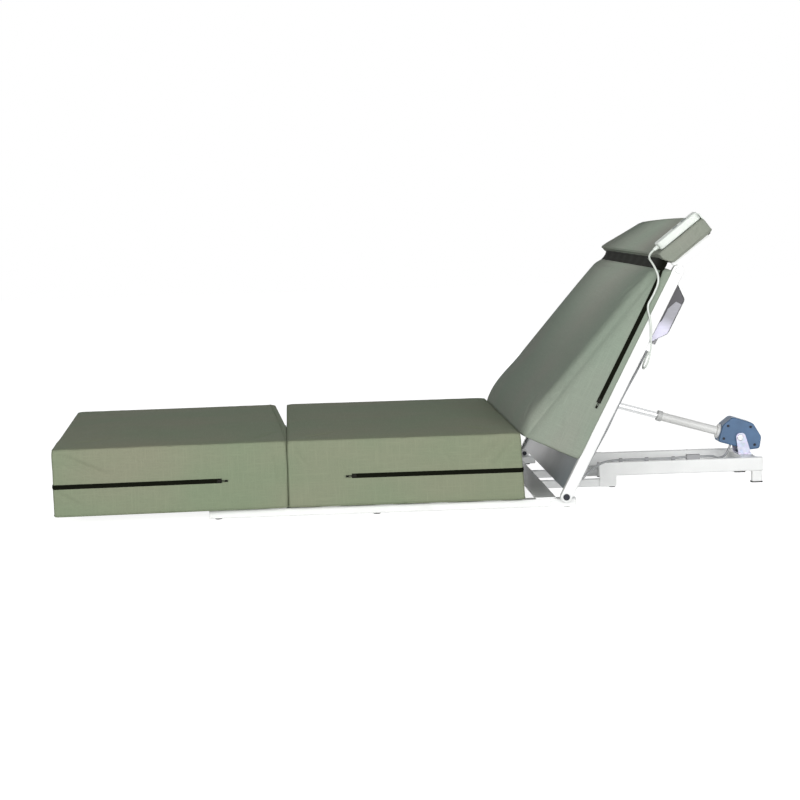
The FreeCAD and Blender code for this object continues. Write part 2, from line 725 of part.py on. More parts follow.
def back_side_rails():
    def one(side):
        ends = RAIL_LENGTH + 2 * RAIL_HALF
        outline = plan_face(-RAIL_HALF, ends - RAIL_HALF, -RAIL_HALF, RAIL_HALF, 0, RAIL_HALF - 0.01)
        bar = outline.extrude(V(0, 0, RAIL_WIDE))
        long_edges = [e for e in bar.Edges if e.Length > RAIL_LENGTH / 2]
        bar = bar.makeFillet(RAIL_CORNER, long_edges)
        bar.Placement = FreeCAD.Placement(V(0, 0, 0), FreeCAD.Rotation(V(1, 0, 0), 90))
        bar.translate(V(0, side * (RAIL_OUTER - RAIL_WIDE / 2) + RAIL_WIDE / 2, 0))
        hollow = side_block(
            side, RAIL_HALF, RAIL_LENGTH - RAIL_HALF,
            RAIL_INNER + RAIL_WALL, RAIL_OUTER - RAIL_WALL,
            -RAIL_HALF + RAIL_WALL, RAIL_HALF - RAIL_WALL,
        )
        bar = bar.cut(hollow)
        bar = bar.cut(across(0, 0, BOLT_RADIUS + RUNNING_GAP, side * RAIL_INNER, side * RAIL_OUTER))
        bar = bar.cut(across(RAIL_LENGTH, 0, BOLT_RADIUS, side * RAIL_INNER, side * RAIL_OUTER))
        return bar.Solids[0]
    return placed(both_sides(one), BACK)


def back_crossbars():
    z = -RAIL_HALF + CROSSBAR_SIZE / 2
    bars = [
        tube_along_y(x, -RAIL_INNER, RAIL_INNER, z, CROSSBAR_SIZE, CROSSBAR_SIZE)
        for x in CROSSBAR_PLACES
    ]
    return placed(bars, BACK)


def back_panel():
    face = plan_face(
        BACK_CUSHION_START + PANEL_MARGIN, BACK_CUSHION_END - PANEL_MARGIN,
        -RAIL_INNER, RAIL_INNER, PANEL_REAR, 4,
    )
    return placed([face.extrude(V(0, 0, PANEL_THICK))], BACK)


def leaning_prism(profile, half_width, corner):
    """A side profile drawn out over the width, with a corner radius at both of its ends."""
    prism = side_prism(profile, [0] * 4, -half_width, half_width)
    middle = prism.BoundBox.Center.x
    reach = prism.BoundBox.XLength / 4
    ends = [
        e for e in prism.Edges
        if abs(e.CenterOfMass.y) > 1 and abs(e.CenterOfMass.x - middle) > reach
    ]
    return prism.makeFillet(corner, ends)


def back_cushion_prism(proud=0.0):
    """The wedge: thick at the seat and thin at the head, where its end leans back."""
    end = BACK_CUSHION_END + proud
    profile = [
        (BACK_CUSHION_START, RAIL_HALF), (end + BACK_CUSHION_LEAN, RAIL_HALF),
        (end, RAIL_HALF + BACK_CUSHION_THIN),
        (BACK_CUSHION_START, RAIL_HALF + BACK_CUSHION_DEEP),
    ]
    return leaning_prism(profile, HALF_WIDTH + proud, CUSHION_CORNER + proud)


def back_cushion():
    return placed([soft_block(back_cushion_prism(), CUSHION_EDGE)], BACK)


def back_zip():
    low = RAIL_HALF + BACK_ZIP_HEIGHT - ZIP_WIDE / 2
    beyond = BACK_CUSHION_END + BACK_CUSHION_LEAN + 2 * ZIP_PROUD
    keep = block(BACK_ZIP_START, beyond, -2 * HALF_WIDTH, 2 * HALF_WIDTH, low, low + ZIP_WIDE)
    strip = back_cushion_prism(ZIP_PROUD).cut(back_cushion_prism()).common(keep)
    return placed([strip.Solids[0]], BACK)


def back_zip_pull():
    z = RAIL_HALF + BACK_ZIP_HEIGHT
    return placed([zip_pull(BACK_ZIP_START + PULL_LENGTH, z, -1)], BACK)


def front_ears():
    """Two ears under the second crossbar that hold the rod's eye between them."""
    inner = EYE_HALF_WIDE + EAR_GAP
    outer = inner + FRONT_EAR_THICK
    tip = -FRONT_PIN_BACK - FRONT_EAR_RADIUS
    outline = [
        (FRONT_PIN_UP - FRONT_EAR_FOOT, -RAIL_HALF), (FRONT_PIN_UP - FRONT_EAR_RADIUS, tip),
        (FRONT_PIN_UP + FRONT_EAR_RADIUS, tip), (FRONT_PIN_UP + FRONT_EAR_FOOT, -RAIL_HALF),
    ]
    corner = FRONT_EAR_RADIUS * 0.9

    def one(side):
        ear = side_prism(outline, [0, corner, corner, 0], side * inner, side * outer)
        bore = across(FRONT_PIN_UP, -FRONT_PIN_BACK, PIN_RADIUS, side * inner, side * outer)
        return ear.cut(bore).Solids[0]
    return placed(both_sides(one), BACK)


def front_ear_bolts():
    """Short bolts through the ears, whose inner ends stop beside the rod's eye."""
    x, z = FRONT_PIN_UP, -FRONT_PIN_BACK
    start = EYE_HALF_WIDE + STUB_GAP
    outer = EYE_HALF_WIDE + EAR_GAP + FRONT_EAR_THICK

    def one(side):
        shank = across(x, z, PIN_RADIUS, side * start, side * outer)
        head = across(x, z, PIN_HEAD_RADIUS, side * outer, side * (outer + PIN_HEAD_TALL))
        return fused([shank, head])
    return placed(both_sides(one), BACK)


def box_profile(grow):
    """The control box's outline beside the rail, grown by a margin at its rear."""
    return [
        (BOX_BOTTOM, -RAIL_HALF - CRADLE_THICK),
        (BOX_TOP, -RAIL_HALF - CRADLE_THICK),
        (BOX_TOP_REAR + grow, -BOX_REAR - grow),
        (BOX_BOTTOM_REAR - grow, -BOX_REAR - grow),
    ]


def control_box_prism():
    corners = [BOX_CORNER / 2, BOX_CORNER / 2, BOX_CORNER * 2, BOX_CORNER * 2]
    return side_prism(box_profile(0), corners, -BOX_OUTER, -BOX_OUTER + BOX_WIDE)


def control_box():
    """The control box's housing: sloped at both ends, with softened edges."""
    box = control_box_prism()
    flats = [e for e in box.Edges if abs(e.tangentAt(0).y) < 0.1]
    box = box.makeFillet(1.5, flats)
    return placed([box.Solids[0]], BACK)


def control_cradle():
    """A bent white sheet that carries the box: a plate against the frame and a curved rear skin."""
    plate = block(
        BOX_BOTTOM - CRADLE_LIP, BOX_TOP + 4,
        -RAIL_INNER, -BOX_OUTER + BOX_WIDE + 2,
        -RAIL_HALF - CRADLE_THICK, -RAIL_HALF,
    )
    outer = [
        (BOX_BOTTOM + 120, -RAIL_HALF - CRADLE_THICK), (BOX_TOP + 4, -RAIL_HALF - CRADLE_THICK),
        (BOX_TOP_REAR + 8, -BOX_REAR - CRADLE_THICK), (BOX_BOTTOM_REAR + 6, -BOX_REAR - CRADLE_THICK),
        (BOX_BOTTOM_REAR + 6, -BOX_REAR),
    ]
    skin = side_prism(outer, [0, 0, 12, 0, 0], -BOX_OUTER - 3, -BOX_OUTER + BOX_WIDE + 2)
    inside = side_prism(box_profile(0.0), [0, 0, 2 * BOX_CORNER, 2 * BOX_CORNER], -RAIL_OUTER, RAIL_OUTER)
    skin = skin.cut(inside)
    skin = sorted(skin.Solids, key=lambda solid: solid.Volume)[-1]
    return placed([fused([plate, skin])], BACK)


def cradle_screws():
    """Two pan-head screws through the cradle's lip, below the box."""
    x = BOX_BOTTOM - CRADLE_LIP / 2
    face = -RAIL_HALF - CRADLE_THICK
    screws = []
    for y in (-BOX_OUTER + CRADLE_SCREW_INSET, -BOX_OUTER + BOX_WIDE - CRADLE_SCREW_INSET):
        head = rod(V(x, y, face), V(0, 0, -1), CRADLE_SCREW_RADIUS, CRADLE_SCREW_TALL)
        rim = [e for e in head.Edges if abs(e.CenterOfMass.z - face + CRADLE_SCREW_TALL) < 0.01]
        screws.append(head.makeFillet(CRADLE_SCREW_TALL * 0.6, rim).Solids[0])
    return placed(screws, BACK)


def box_plug(side_place, radius, length):
    """A round plug seated in the box's lower slope, its cord end pointing to the foot."""
    front = RAIL_HALF + CRADLE_THICK
    share = (PLUG_DEPTH - front) / (BOX_REAR - front)
    slope_x = BOX_BOTTOM + (BOX_BOTTOM_REAR - BOX_BOTTOM) * share
    body = rod(V(slope_x - length, -side_place, -PLUG_DEPTH), V(1, 0, 0), radius, length + 2 * radius)
    rim = [e for e in body.Edges if abs(e.CenterOfMass.x - slope_x + length) < 0.01]
    body = body.makeFillet(radius * 0.3, rim)
    return body.cut(control_box_prism()).Solids[0], slope_x - length


def control_plugs():
    sides = (HANDSET_PLUG_SIDE, MOTOR_PLUG_SIDE)
    return placed([box_plug(side, PLUG_RADIUS, PLUG_LENGTH)[0] for side in sides], BACK)


def mains_gland():
    """The gland on the box's inboard side where a supply lead would enter."""
    y = -BOX_OUTER + BOX_WIDE
    x = (BOX_TOP_REAR + BOX_BOTTOM_REAR) / 2
    z = -(RAIL_HALF + BOX_REAR) / 2
    nut = across(x, z, GLAND_NUT_RADIUS, y, y + 8)
    neck = across(x, z, GLAND_NUT_RADIUS * 0.7, y + 8, y + 16)
    hole = across(x, z, 3, y + 6, y + 16)
    return placed([fused([nut, neck]).cut(hole).Solids[0]], BACK)


def head_pivot_bolts():
    bolts = both_sides(lambda side: hinge_bolt(side, RAIL_LENGTH, 0, RAIL_OUTER, ARM_INNER))
    return placed(bolts, BACK)


def head_pivot_washers():
    rings = both_sides(
        lambda side: washer(
            side, RAIL_LENGTH, 0, ARM_OUTER + SIDE_GAP, RAIL_INNER, EAR_RADIUS - 2, BOLT_RADIUS
        )
    )
    return placed(rings, BACK)


# Head rest, drawn flat along X from its pivot and then raised


def head_arms():
    def one(side):
        bar = side_block(side, 0, ARM_LENGTH, ARM_INNER, ARM_OUTER, HEAD_PLANE - ARM_DEEP, HEAD_PLANE)
        eye = across(0, 0, ARM_RADIUS, side * ARM_INNER, side * ARM_OUTER)
        bore = across(0, 0, BOLT_RADIUS + RUNNING_GAP, side * ARM_INNER, side * ARM_OUTER)
        return fused([bar, eye]).cut(bore).Solids[0]
    return placed(both_sides(one), HEAD)


def head_crossbar():
    """A flat bar between the arms, under the board."""
    bar = block(
        HEAD_BAR_PLACE - HEAD_BAR_WIDE / 2, HEAD_BAR_PLACE + HEAD_BAR_WIDE / 2,
        -ARM_INNER, ARM_INNER, HEAD_BOARD_REAR - HEAD_BAR_THICK, HEAD_BOARD_REAR,
    )
    return placed([bar], HEAD)


def head_board():
    face = plan_face(
        HEAD_CUSHION_REAR_END + HEAD_BOARD_MARGIN, HEAD_CUSHION_TOP - HEAD_BOARD_MARGIN,
        -ARM_INNER, ARM_INNER, HEAD_BOARD_REAR, 4,
    )
    return placed([face.extrude(V(0, 0, HEAD_BOARD_THICK))], HEAD)


def head_cushion():
    """The pad, whose lower end leans as the back cushion's upper end does."""
    profile = [
        (HEAD_CUSHION_REAR_END, HEAD_PLANE), (HEAD_CUSHION_TOP, HEAD_PLANE),
        (HEAD_CUSHION_TOP, HEAD_CUSHION_FACE), (-HEAD_CUSHION_BELOW, HEAD_CUSHION_FACE),
    ]
    pad = leaning_prism(profile, HALF_WIDTH, HEAD_CUSHION_CORNER)
    return placed([soft_block(pad, CUSHION_EDGE)], HEAD)


# Handset


def handset_slab(low, high):
    face = plan_face(
        -HANDSET_LOW, HANDSET_LENGTH - HANDSET_LOW,
        -HANDSET_SIDE, -HANDSET_SIDE + HANDSET_WIDE, low, HANDSET_CORNER,
    )
    return face.extrude(V(0, 0, high - low))


def outer_rim(solid, z):
    """The edges of a moulding's rim at height z."""
    return [e for e in solid.Edges if abs(e.CenterOfMass.z - z) < 0.01 and not is_upright(e)]


def handset_base_shell():
    """The rear half, with the tapered strain relief at its lower end."""
    shell = handset_slab(HANDSET_REST, HANDSET_REST + HANDSET_SPLIT)
    shell = shell.makeFillet(HANDSET_EDGE, outer_rim(shell, HANDSET_REST)).Solids[0]
    end = V(-HANDSET_LOW, HANDSET_CENTRE, HANDSET_MIDDLE)
    boot = Part.makeCone(BOOT_RADIUS + 1.5, BOOT_RADIUS, BOOT_LENGTH, end, V(-1, 0, 0))
    return placed([shell, boot], HEAD)


def handset_top_shell():
    """The keypad half, with a round well for each button."""
    top = HANDSET_REST + HANDSET_THICK
    shell = handset_slab(HANDSET_REST + HANDSET_SPLIT, top)
    shell = shell.makeFillet(HANDSET_EDGE, outer_rim(shell, top))
    well_floor = top + BUTTON_PROUD - BUTTON_TALL - BUTTON_TRAVEL - BUTTON_GAP
    for x in BUTTON_PLACES.values():
        well = rod(V(x, HANDSET_CENTRE, well_floor), V(0, 0, 1), BUTTON_RADIUS + BUTTON_GAP, HANDSET_THICK)
        shell = shell.cut(well)
    return placed([shell.Solids[0]], HEAD)


def handset_button(x):
    top = HANDSET_REST + HANDSET_THICK + BUTTON_PROUD
    button = rod(V(x, HANDSET_CENTRE, top - BUTTON_TALL), V(0, 0, 1), BUTTON_RADIUS, BUTTON_TALL)
    rim = [e for e in button.Edges if abs(e.CenterOfMass.z - top) < 0.01]
    return placed([button.makeFillet(BUTTON_PROUD * 0.6, rim).Solids[0]], HEAD)


def handset_hook():
    """A hook from the handset's upper end, over the head cushion's top edge."""
    start = HANDSET_LENGTH - HANDSET_LOW
    beyond = HEAD_CUSHION_TOP + REST_GAP
    top = HANDSET_MIDDLE + HOOK_THICK
    profile = [
        (start, HANDSET_MIDDLE), (beyond, HANDSET_MIDDLE), (beyond, HEAD_CUSHION_FACE - HOOK_DROP),
        (beyond + HOOK_THICK, HEAD_CUSHION_FACE - HOOK_DROP), (beyond + HOOK_THICK, top), (start, top),
    ]
    radii = [0, 2, 0, 0, 5, 0]
    hook = side_prism(profile, radii, HANDSET_CENTRE - HOOK_WIDE / 2, HANDSET_CENTRE + HOOK_WIDE / 2)
    return placed([hook], HEAD)


# Actuator, drawn along X from its rear pin and then turned into place


def housing_outline():
    """A blunt D: flat in front and below, domed over the motor."""
    profile = [
        (HOUSING_FRONT, -HOUSING_BELOW), (HOUSING_FRONT, HOUSING_ABOVE * 0.42),
        (HOUSING_FRONT * 0.62, HOUSING_ABOVE), (-HOUSING_REAR * 0.42, HOUSING_ABOVE * 0.96),
        (-HOUSING_REAR * 0.94, HOUSING_ABOVE * 0.34), (-HOUSING_REAR, -HOUSING_BELOW * 0.6),
        (-HOUSING_REAR * 0.55, -HOUSING_BELOW),
    ]
    return profile, [6, 10, 14, 18, 16, 8, 12]


def housing_half(side):
    """Half of the motor and gear housing, split along the middle, with a pivot boss and screw bosses."""
    profile, radii = housing_outline()
    shell = side_prism(profile, radii, 0, side * HOUSING_HALF_WIDE)
    rim = [e for e in shell.Edges if abs(abs(e.CenterOfMass.y) - HOUSING_HALF_WIDE) < 0.01]
    shell = shell.makeFillet(HOUSING_EDGE, rim)
    face = side * HOUSING_HALF_WIDE
    recess_floor = side * (HOUSING_HALF_WIDE - SCREW_RECESS)
    boss_top = side * (HOUSING_HALF_WIDE + HOUSING_BOSS_TALL)
    shell = fused([shell, across(0, 0, HOUSING_BOSS_RADIUS, recess_floor, boss_top)])
    shell = shell.cut(across(0, 0, PIN_RADIUS + RUNNING_GAP, 0, boss_top))
    for x, z in housing_screw_places():
        shell = shell.cut(across(x, z, SCREW_HEAD_RADIUS + 1, recess_floor, face))
    inset = [(x * 0.97, z * 0.97) for x, z in profile]
    groove = side_prism(profile, radii, 0, side * SEAM_GROOVE / 2)
    core = side_prism(inset, radii, 0, side * SEAM_GROOVE / 2)
    shell = shell.cut(groove.cut(core))
    return shell.Solids[0]


def housing_screw_places():
    return [
        (HOUSING_FRONT - 12, -HOUSING_BELOW + 12), (HOUSING_FRONT - 14, HOUSING_ABOVE * 0.45),
        (-HOUSING_REAR * 0.35, HOUSING_ABOVE * 0.72), (-HOUSING_REAR + 16, -HOUSING_BELOW * 0.35),
    ]


def motor_housing_near():
    return placed([housing_half(1)], ACTUATOR)


def motor_housing_far():
    return placed([housing_half(-1)], ACTUATOR)


def housing_screws():
    """Pan heads sunk in the near half's recesses, which face +Y in the actuator's own frame."""
    screws = []
    for x, z in housing_screw_places():
        low = HOUSING_HALF_WIDE - SCREW_RECESS
        high = low + SCREW_HEAD_TALL
        head = across(x, z, SCREW_HEAD_RADIUS, low, high)
        slot = block(x - 2, x + 2, low + SCREW_HEAD_TALL * 0.4, high + 1, z - 0.4, z + 0.4)
        screws.append(head.cut(slot).Solids[0])
    return placed(screws, ACTUATOR)


def tube_flange():
    """The round flange that clamps the guide tube to the housing's front."""
    ring = along_x(HOUSING_FRONT, FLANGE_RADIUS, FLANGE_THICK)
    rim = [e for e in ring.Edges if abs(e.CenterOfMass.x - HOUSING_FRONT - FLANGE_THICK) < 0.01]
    ring = ring.makeFillet(2, rim).cut(along_x(HOUSING_FRONT, TUBE_RADIUS, FLANGE_THICK))
    return placed([ring.Solids[0]], ACTUATOR)


def guide_tube():
    length = GLAND_PLACE - GLAND_LENGTH / 2 - HOUSING_FRONT
    tube = along_x(HOUSING_FRONT, TUBE_RADIUS, length).cut(along_x(HOUSING_FRONT, TUBE_BORE, length))
    return placed([tube.Solids[0]], ACTUATOR)


def tube_gland():
    """The cap on the tube's open end: a skirt over the tube and a collar about the rod."""
    start = GLAND_PLACE - GLAND_LENGTH
    collar = along_x(start, GLAND_RADIUS, GLAND_LENGTH)
    rim = [e for e in collar.Edges if abs(e.CenterOfMass.x - GLAND_PLACE) < 0.01]
    collar = collar.makeFillet(2.5, rim)
    collar = collar.cut(along_x(start, TUBE_RADIUS, GLAND_LENGTH / 2))
    collar = collar.cut(along_x(start, ROD_RADIUS + RUNNING_GAP, GLAND_LENGTH))
    return placed([collar.Solids[0]], ACTUATOR)


def piston_rod():
    start = GLAND_PLACE - ROD_IN_TUBE
    end = PIN_TO_PIN - EYE_NECK
    bar = along_x(start, ROD_RADIUS, end - start)
    bar = bar.cut(along_x(start, ROD_BORE, end - start - ROD_SOLID_END))
    return placed([bar.Solids[0]], ACTUATOR)


def lock_nut():
    """A hexagonal nut locking the eye on the rod's end."""
    start = PIN_TO_PIN - EYE_NECK
    turns = [math.radians(60 * n) for n in range(6)]
    corners = [V(start, NUT_RADIUS * math.cos(a), NUT_RADIUS * math.sin(a)) for a in turns]
    face = Part.Face(Part.makePolygon(corners + corners[:1]))
    return placed([face.extrude(V(NUT_THICK, 0, 0))], ACTUATOR)


def rod_eye():
    """A turned neck that flares into the eye for the front pin."""
    start = PIN_TO_PIN - EYE_NECK + NUT_THICK
    neck = Part.makeCone(ROD_RADIUS, EYE_HALF_WIDE, EYE_NECK - NUT_THICK, V(start, 0, 0), V(1, 0, 0))
    eye = across(PIN_TO_PIN, 0, EYE_RADIUS, -EYE_HALF_WIDE, EYE_HALF_WIDE)
    bore = across(PIN_TO_PIN, 0, EYE_BORE, -EYE_HALF_WIDE, EYE_HALF_WIDE)
    return placed([fused([neck, eye]).cut(bore).Solids[0]], ACTUATOR)


# Cords: straight runs joined by tangent arcs


def cord_tube(name, points, diameter):
    """A round tube along a route of straight runs and tangent arcs, in the bed's frame."""
    edges = []
    radii = []
    end = points[0]
    for before, corner, after in zip(points, points[1:], points[2:]):
        turn = (corner - before).getAngle(after - corner)
        run = min(before.distanceToPoint(corner), corner.distanceToPoint(after))
        radius = ARC_SHARE * run / math.tan(turn / 2)
        start, middle, following = arc_between(before, corner, after, radius)
        edges.append(Part.LineSegment(end, start).toShape())
        edges.append(Part.Arc(start, middle, following).toShape())
        radii.append(radius)
        end = following
    edges.append(Part.LineSegment(end, points[-1]).toShape())
    path = Part.Wire(edges)
    ring = Part.Wire(Part.Circle(points[0], points[1] - points[0], diameter / 2).toShape())
    tube = path.makePipeShell([ring], True, False)
    whole = math.pi * diameter**2 / 4 * path.Length
    share = tube.Volume / whole
    bends = " ".join(f"{radius:.0f}" for radius in radii)
    print(f"{name}: {path.Length:.0f} mm long, {share:.4f} of section times length, radii {bends}")
    return tube.Solids[0]


def below_boot(distance):
    """A point straight out of the handset's strain relief."""
    return HEAD.multVec(V(-HANDSET_LOW - BOOT_LENGTH - distance, HANDSET_CENTRE, HANDSET_MIDDLE))


def handset_cord_upper():
    """Out of the boot, over the head cushion's lower edge and down beside the back cushion."""
    above = CORD_SPLIT - CORD_HEADING * 23
    route = [below_boot(0), below_boot(22), V(886, -446, 584), above, CORD_SPLIT]
    return [cord_tube("handset_cord_upper", route, CORD_DIAMETER)]


def handset_cord_lower():
    """Down the cushion's side, over the rail's outer face and up into its plug."""
    plug = box_plug(HANDSET_PLUG_SIDE, PLUG_RADIUS, PLUG_LENGTH)[1]
    back_points = [
        (498, -456, 22), (470, -452.5, 8), (440, -450, -10), (408, -450, -26),
        (374, -450, -33), (358, -422, -34), (374, -HANDSET_PLUG_SIDE, -PLUG_DEPTH),
        (plug, -HANDSET_PLUG_SIDE, -PLUG_DEPTH),
    ]
    route = [CORD_SPLIT, CORD_SPLIT + CORD_HEADING * 20]
    route += [BACK.multVec(V(x, y, z)) for x, y, z in back_points]
    return [cord_tube("handset_cord_lower", route, CORD_DIAMETER)]


def motor_lead():
    """From the housing's underside to the connector on the near beam."""
    end = CONNECTOR_PLACE + CONNECTOR_LENGTH / 2
    route = [ACTUATOR.multVec(V(16, 14, -HOUSING_BELOW - ahead)) for ahead in (0, 17)]
    route += [V(1154, -22, 58.5), V(1132, -41, 58), V(1118, -74, 67), V(1102.5, -90.5, 71)]
    route += [V(end + ahead, -BEAM_CENTRE, CONNECTOR_MIDDLE) for ahead in (16, 0)]
    return [cord_tube("motor_lead", route, LEAD_DIAMETER)]


def cable_connector():
    """The in-line connector where the motor's lead meets the control box's lead."""
    half_long = CONNECTOR_LENGTH / 2
    half_wide = CONNECTOR_WIDE / 2
    body = block(
        CONNECTOR_PLACE - half_long, CONNECTOR_PLACE + half_long,
        -BEAM_CENTRE - half_wide, -BEAM_CENTRE + half_wide, BEAM_TOP, BEAM_TOP + CONNECTOR_TALL,
    )
    ridges = [e for e in body.Edges if abs(e.tangentAt(0).x) > 0.9 and e.CenterOfMass.z > BEAM_TOP + 1]
    body = body.makeFillet(3, ridges)
    return [body.Solids[0]]


def cable_clips():
    """Saddle clips that hold the lead on top of the near beam."""
    clips = []
    y = -BEAM_CENTRE
    bore = LEAD_DIAMETER / 2 + CLIP_GAP
    outer = bore + 1.6
    for place in CLIP_PLACES:
        start = place - CLIP_LENGTH / 2
        end = place + CLIP_LENGTH / 2
        saddle = rod(V(start, y, LEAD_TOP), V(1, 0, 0), outer, CLIP_LENGTH)
        foot = block(start, end, y - 9, y + 9, BEAM_TOP, BEAM_TOP + 1.5)
        wall = block(start, end, y - outer, y + outer, BEAM_TOP, LEAD_TOP)
        hole = rod(V(start, y, LEAD_TOP), V(1, 0, 0), bore, CLIP_LENGTH)
        below = block(start, end, y - outer, y + outer, BEAM_TOP - outer, BEAM_TOP)
        clip = fused([saddle, foot, wall]).cut(hole)
        clips.append(clip.cut(below).Solids[0])
    return clips


def control_lead():
    """From the connector along the beam, past the back hinge and up behind the near rail."""
    plug = box_plug(MOTOR_PLUG_SIDE, PLUG_RADIUS, PLUG_LENGTH)[1]
    y = -BEAM_CENTRE
    start = CONNECTOR_PLACE - CONNECTOR_LENGTH / 2
    on_base = [
        (start, y, CONNECTOR_MIDDLE), (start - 14, y, CONNECTOR_MIDDLE), (start - 28, y, LEAD_TOP),
        (972, y - 0.15, LEAD_TOP), (900, y + 0.15, LEAD_TOP), (844, y - 0.1, LEAD_TOP),
        (812, y - 16, LEAD_TOP - 4), (785, y - 52, 58),
        (762, y - 100, 50), (745, y - 156, 48), (732, y - 214, 53), (727, y - 264, 70),
    ]
    on_back = [
        (136, -398, -22), (190, -403, -24), (244, -402, -22), (300, -398, -24), (346, -386, -29),
        (380, -370, -32), (plug - 12, -MOTOR_PLUG_SIDE, -PLUG_DEPTH), (plug, -MOTOR_PLUG_SIDE, -PLUG_DEPTH),
    ]
    route = [V(*point) for point in on_base] + [BACK.multVec(V(*point)) for point in on_back]
    return [cord_tube("control_lead", route, LEAD_DIAMETER)]


NODES = {
    "base_side_tubes": base_side_tubes,
    "base_cross_tubes": base_cross_tubes,
    "tube_end_caps": tube_end_caps,
    "base_slats": base_slats,
    "base_glides": base_glides,
    "drop_tubes": drop_tubes,
    "rear_beams": rear_beams,
    "rear_bar": rear_bar,
    "rear_feet": rear_feet,
    "rear_foot_pads": rear_foot_pads,
    "hinge_ears": hinge_ears,
    "hinge_bolts": hinge_bolts,
    "hinge_washers": hinge_washers,
    "rear_bracket": rear_bracket,
    "rear_pin": rear_pin,
    "leg_cushion": leg_cushion,
    "seat_cushion": seat_cushion,
    "leg_zip": leg_zip,
    "seat_zip": seat_zip,
    "leg_zip_pull": leg_zip_pull,
    "seat_zip_pull": seat_zip_pull,
    "back_side_rails": back_side_rails,
    "back_crossbars": back_crossbars,
    "back_panel": back_panel,
    "back_cushion": back_cushion,
    "back_zip": back_zip,
    "back_zip_pull": back_zip_pull,
    "front_ears": front_ears,
    "front_ear_bolts": front_ear_bolts,
    "control_box": control_box,
    "control_cradle": control_cradle,
    "cradle_screws": cradle_screws,
    "control_plugs": control_plugs,
    "mains_gland": mains_gland,
    "head_pivot_bolts": head_pivot_bolts,
    "head_pivot_washers": head_pivot_washers,
    "head_arms": head_arms,
    "head_crossbar": head_crossbar,
    "head_board": head_board,
    "head_cushion": head_cushion,
    "handset_base_shell": handset_base_shell,
    "handset_top_shell": handset_top_shell,
    "handset_hook": handset_hook,
    "motor_housing_near": motor_housing_near,
    "motor_housing_far": motor_housing_far,
    "housing_screws": housing_screws,
    "tube_flange": tube_flange,
    "guide_tube": guide_tube,
    "tube_gland": tube_gland,
    "piston_rod": piston_rod,
    "lock_nut": lock_nut,
    "rod_eye": rod_eye,
    "handset_cord_upper": handset_cord_upper,
    "handset_cord_lower": handset_cord_lower,
    "motor_lead": motor_lead,
    "cable_connector": cable_connector,
    "cable_clips": cable_clips,
    "control_lead": control_lead,
}


def main():
    os.makedirs("parts", exist_ok=True)
    nodes = dict(NODES)
    for name, x in BUTTON_PLACES.items():
        nodes[f"button_{name}"] = lambda x=x: handset_button(x)
    for name, make in nodes.items():
        solids = make()
        shape = solids[0] if len(solids) == 1 else Part.makeCompound(solids)
        shape.exportStep(f"parts/{name}.step")
    print(f"{len(nodes)} nodes, pins {PIN_TO_PIN:.2f} mm apart, actuator at {ACTUATOR_ANGLE:.3f} degrees")


main()
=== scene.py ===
"""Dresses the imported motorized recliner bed: covers, zips, cords, finishes and the studio.

Metres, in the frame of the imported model. +X runs from the foot end to the head end,
+Z is up, and the near side is -Y.
"""

import json
import math

import bmesh
import bpy
import numpy as np
from mathutils import Matrix, Vector
from mathutils.bvhtree import BVHTree

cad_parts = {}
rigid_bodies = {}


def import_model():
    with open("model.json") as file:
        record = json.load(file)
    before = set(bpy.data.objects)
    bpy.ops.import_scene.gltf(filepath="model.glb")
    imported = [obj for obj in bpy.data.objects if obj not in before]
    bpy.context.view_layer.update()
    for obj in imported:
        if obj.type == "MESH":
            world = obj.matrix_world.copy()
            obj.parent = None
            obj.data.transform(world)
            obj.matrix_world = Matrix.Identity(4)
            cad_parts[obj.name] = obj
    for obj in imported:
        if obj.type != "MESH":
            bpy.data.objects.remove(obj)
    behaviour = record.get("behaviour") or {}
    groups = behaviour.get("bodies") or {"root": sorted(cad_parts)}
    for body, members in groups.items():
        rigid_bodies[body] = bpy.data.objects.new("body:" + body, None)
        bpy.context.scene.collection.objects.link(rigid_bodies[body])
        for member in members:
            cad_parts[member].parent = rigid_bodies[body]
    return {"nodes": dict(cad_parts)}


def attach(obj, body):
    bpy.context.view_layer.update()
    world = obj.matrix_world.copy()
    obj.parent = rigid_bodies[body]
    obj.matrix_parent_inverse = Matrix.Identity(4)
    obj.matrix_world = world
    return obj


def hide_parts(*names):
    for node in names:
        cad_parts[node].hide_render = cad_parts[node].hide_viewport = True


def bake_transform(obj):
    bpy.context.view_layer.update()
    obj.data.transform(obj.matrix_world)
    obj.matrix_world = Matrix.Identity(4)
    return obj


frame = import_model()

bl_info = {
    "name": "Motorized Recliner Bed",
    "version": (1, 0, 0),
    "blender": (4, 5, 0),
    "location": "View3D > Sidebar > Recliner",
    "description": "Dresses the packed recliner bed with covers, zips, cords and finishes",
    "category": "Object",
}

NODES = frame["nodes"]
MM = 0.001

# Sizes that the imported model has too
HALF_WIDTH = 0.450
SEAM_GAP = 0.0005
LEG_LENGTH = 0.559
SEAT_LENGTH = 0.567
MATTRESS_BOTTOM = 0.0273
MATTRESS_TOP = MATTRESS_BOTTOM + 0.163
LEG_SKEW = 2.9
RAIL_ANGLE = 62.5
HINGE = (0.675, 0.0295)
RAIL_HALF = 0.014
BACK_START = 0.0925
BACK_END = 0.5905
BACK_LEAN = 0.018
HEAD_ANGLE = 37.85
HEAD_PIVOT_UP = 0.611
HEAD_LOW = -0.0178
HEAD_TOP = 0.1242
HEAD_REAR = 0.0226
HEAD_THICK = 0.040
HEAD_LEAN = 0.022
CUSHION_CORNER = 0.011
HEAD_CORNER = 0.011
ZIP_PROUD = 0.0015
LEG_ZIP_END = -0.158
SEAT_ZIP_START = 0.155
BACK_ZIP_START = 0.240
MATTRESS_ZIP_Z = MATTRESS_BOTTOM + 0.073
BACK_ZIP_Z = RAIL_HALF + 0.0195
PULL_LENGTH = 0.011
PULL_TALL = 0.008
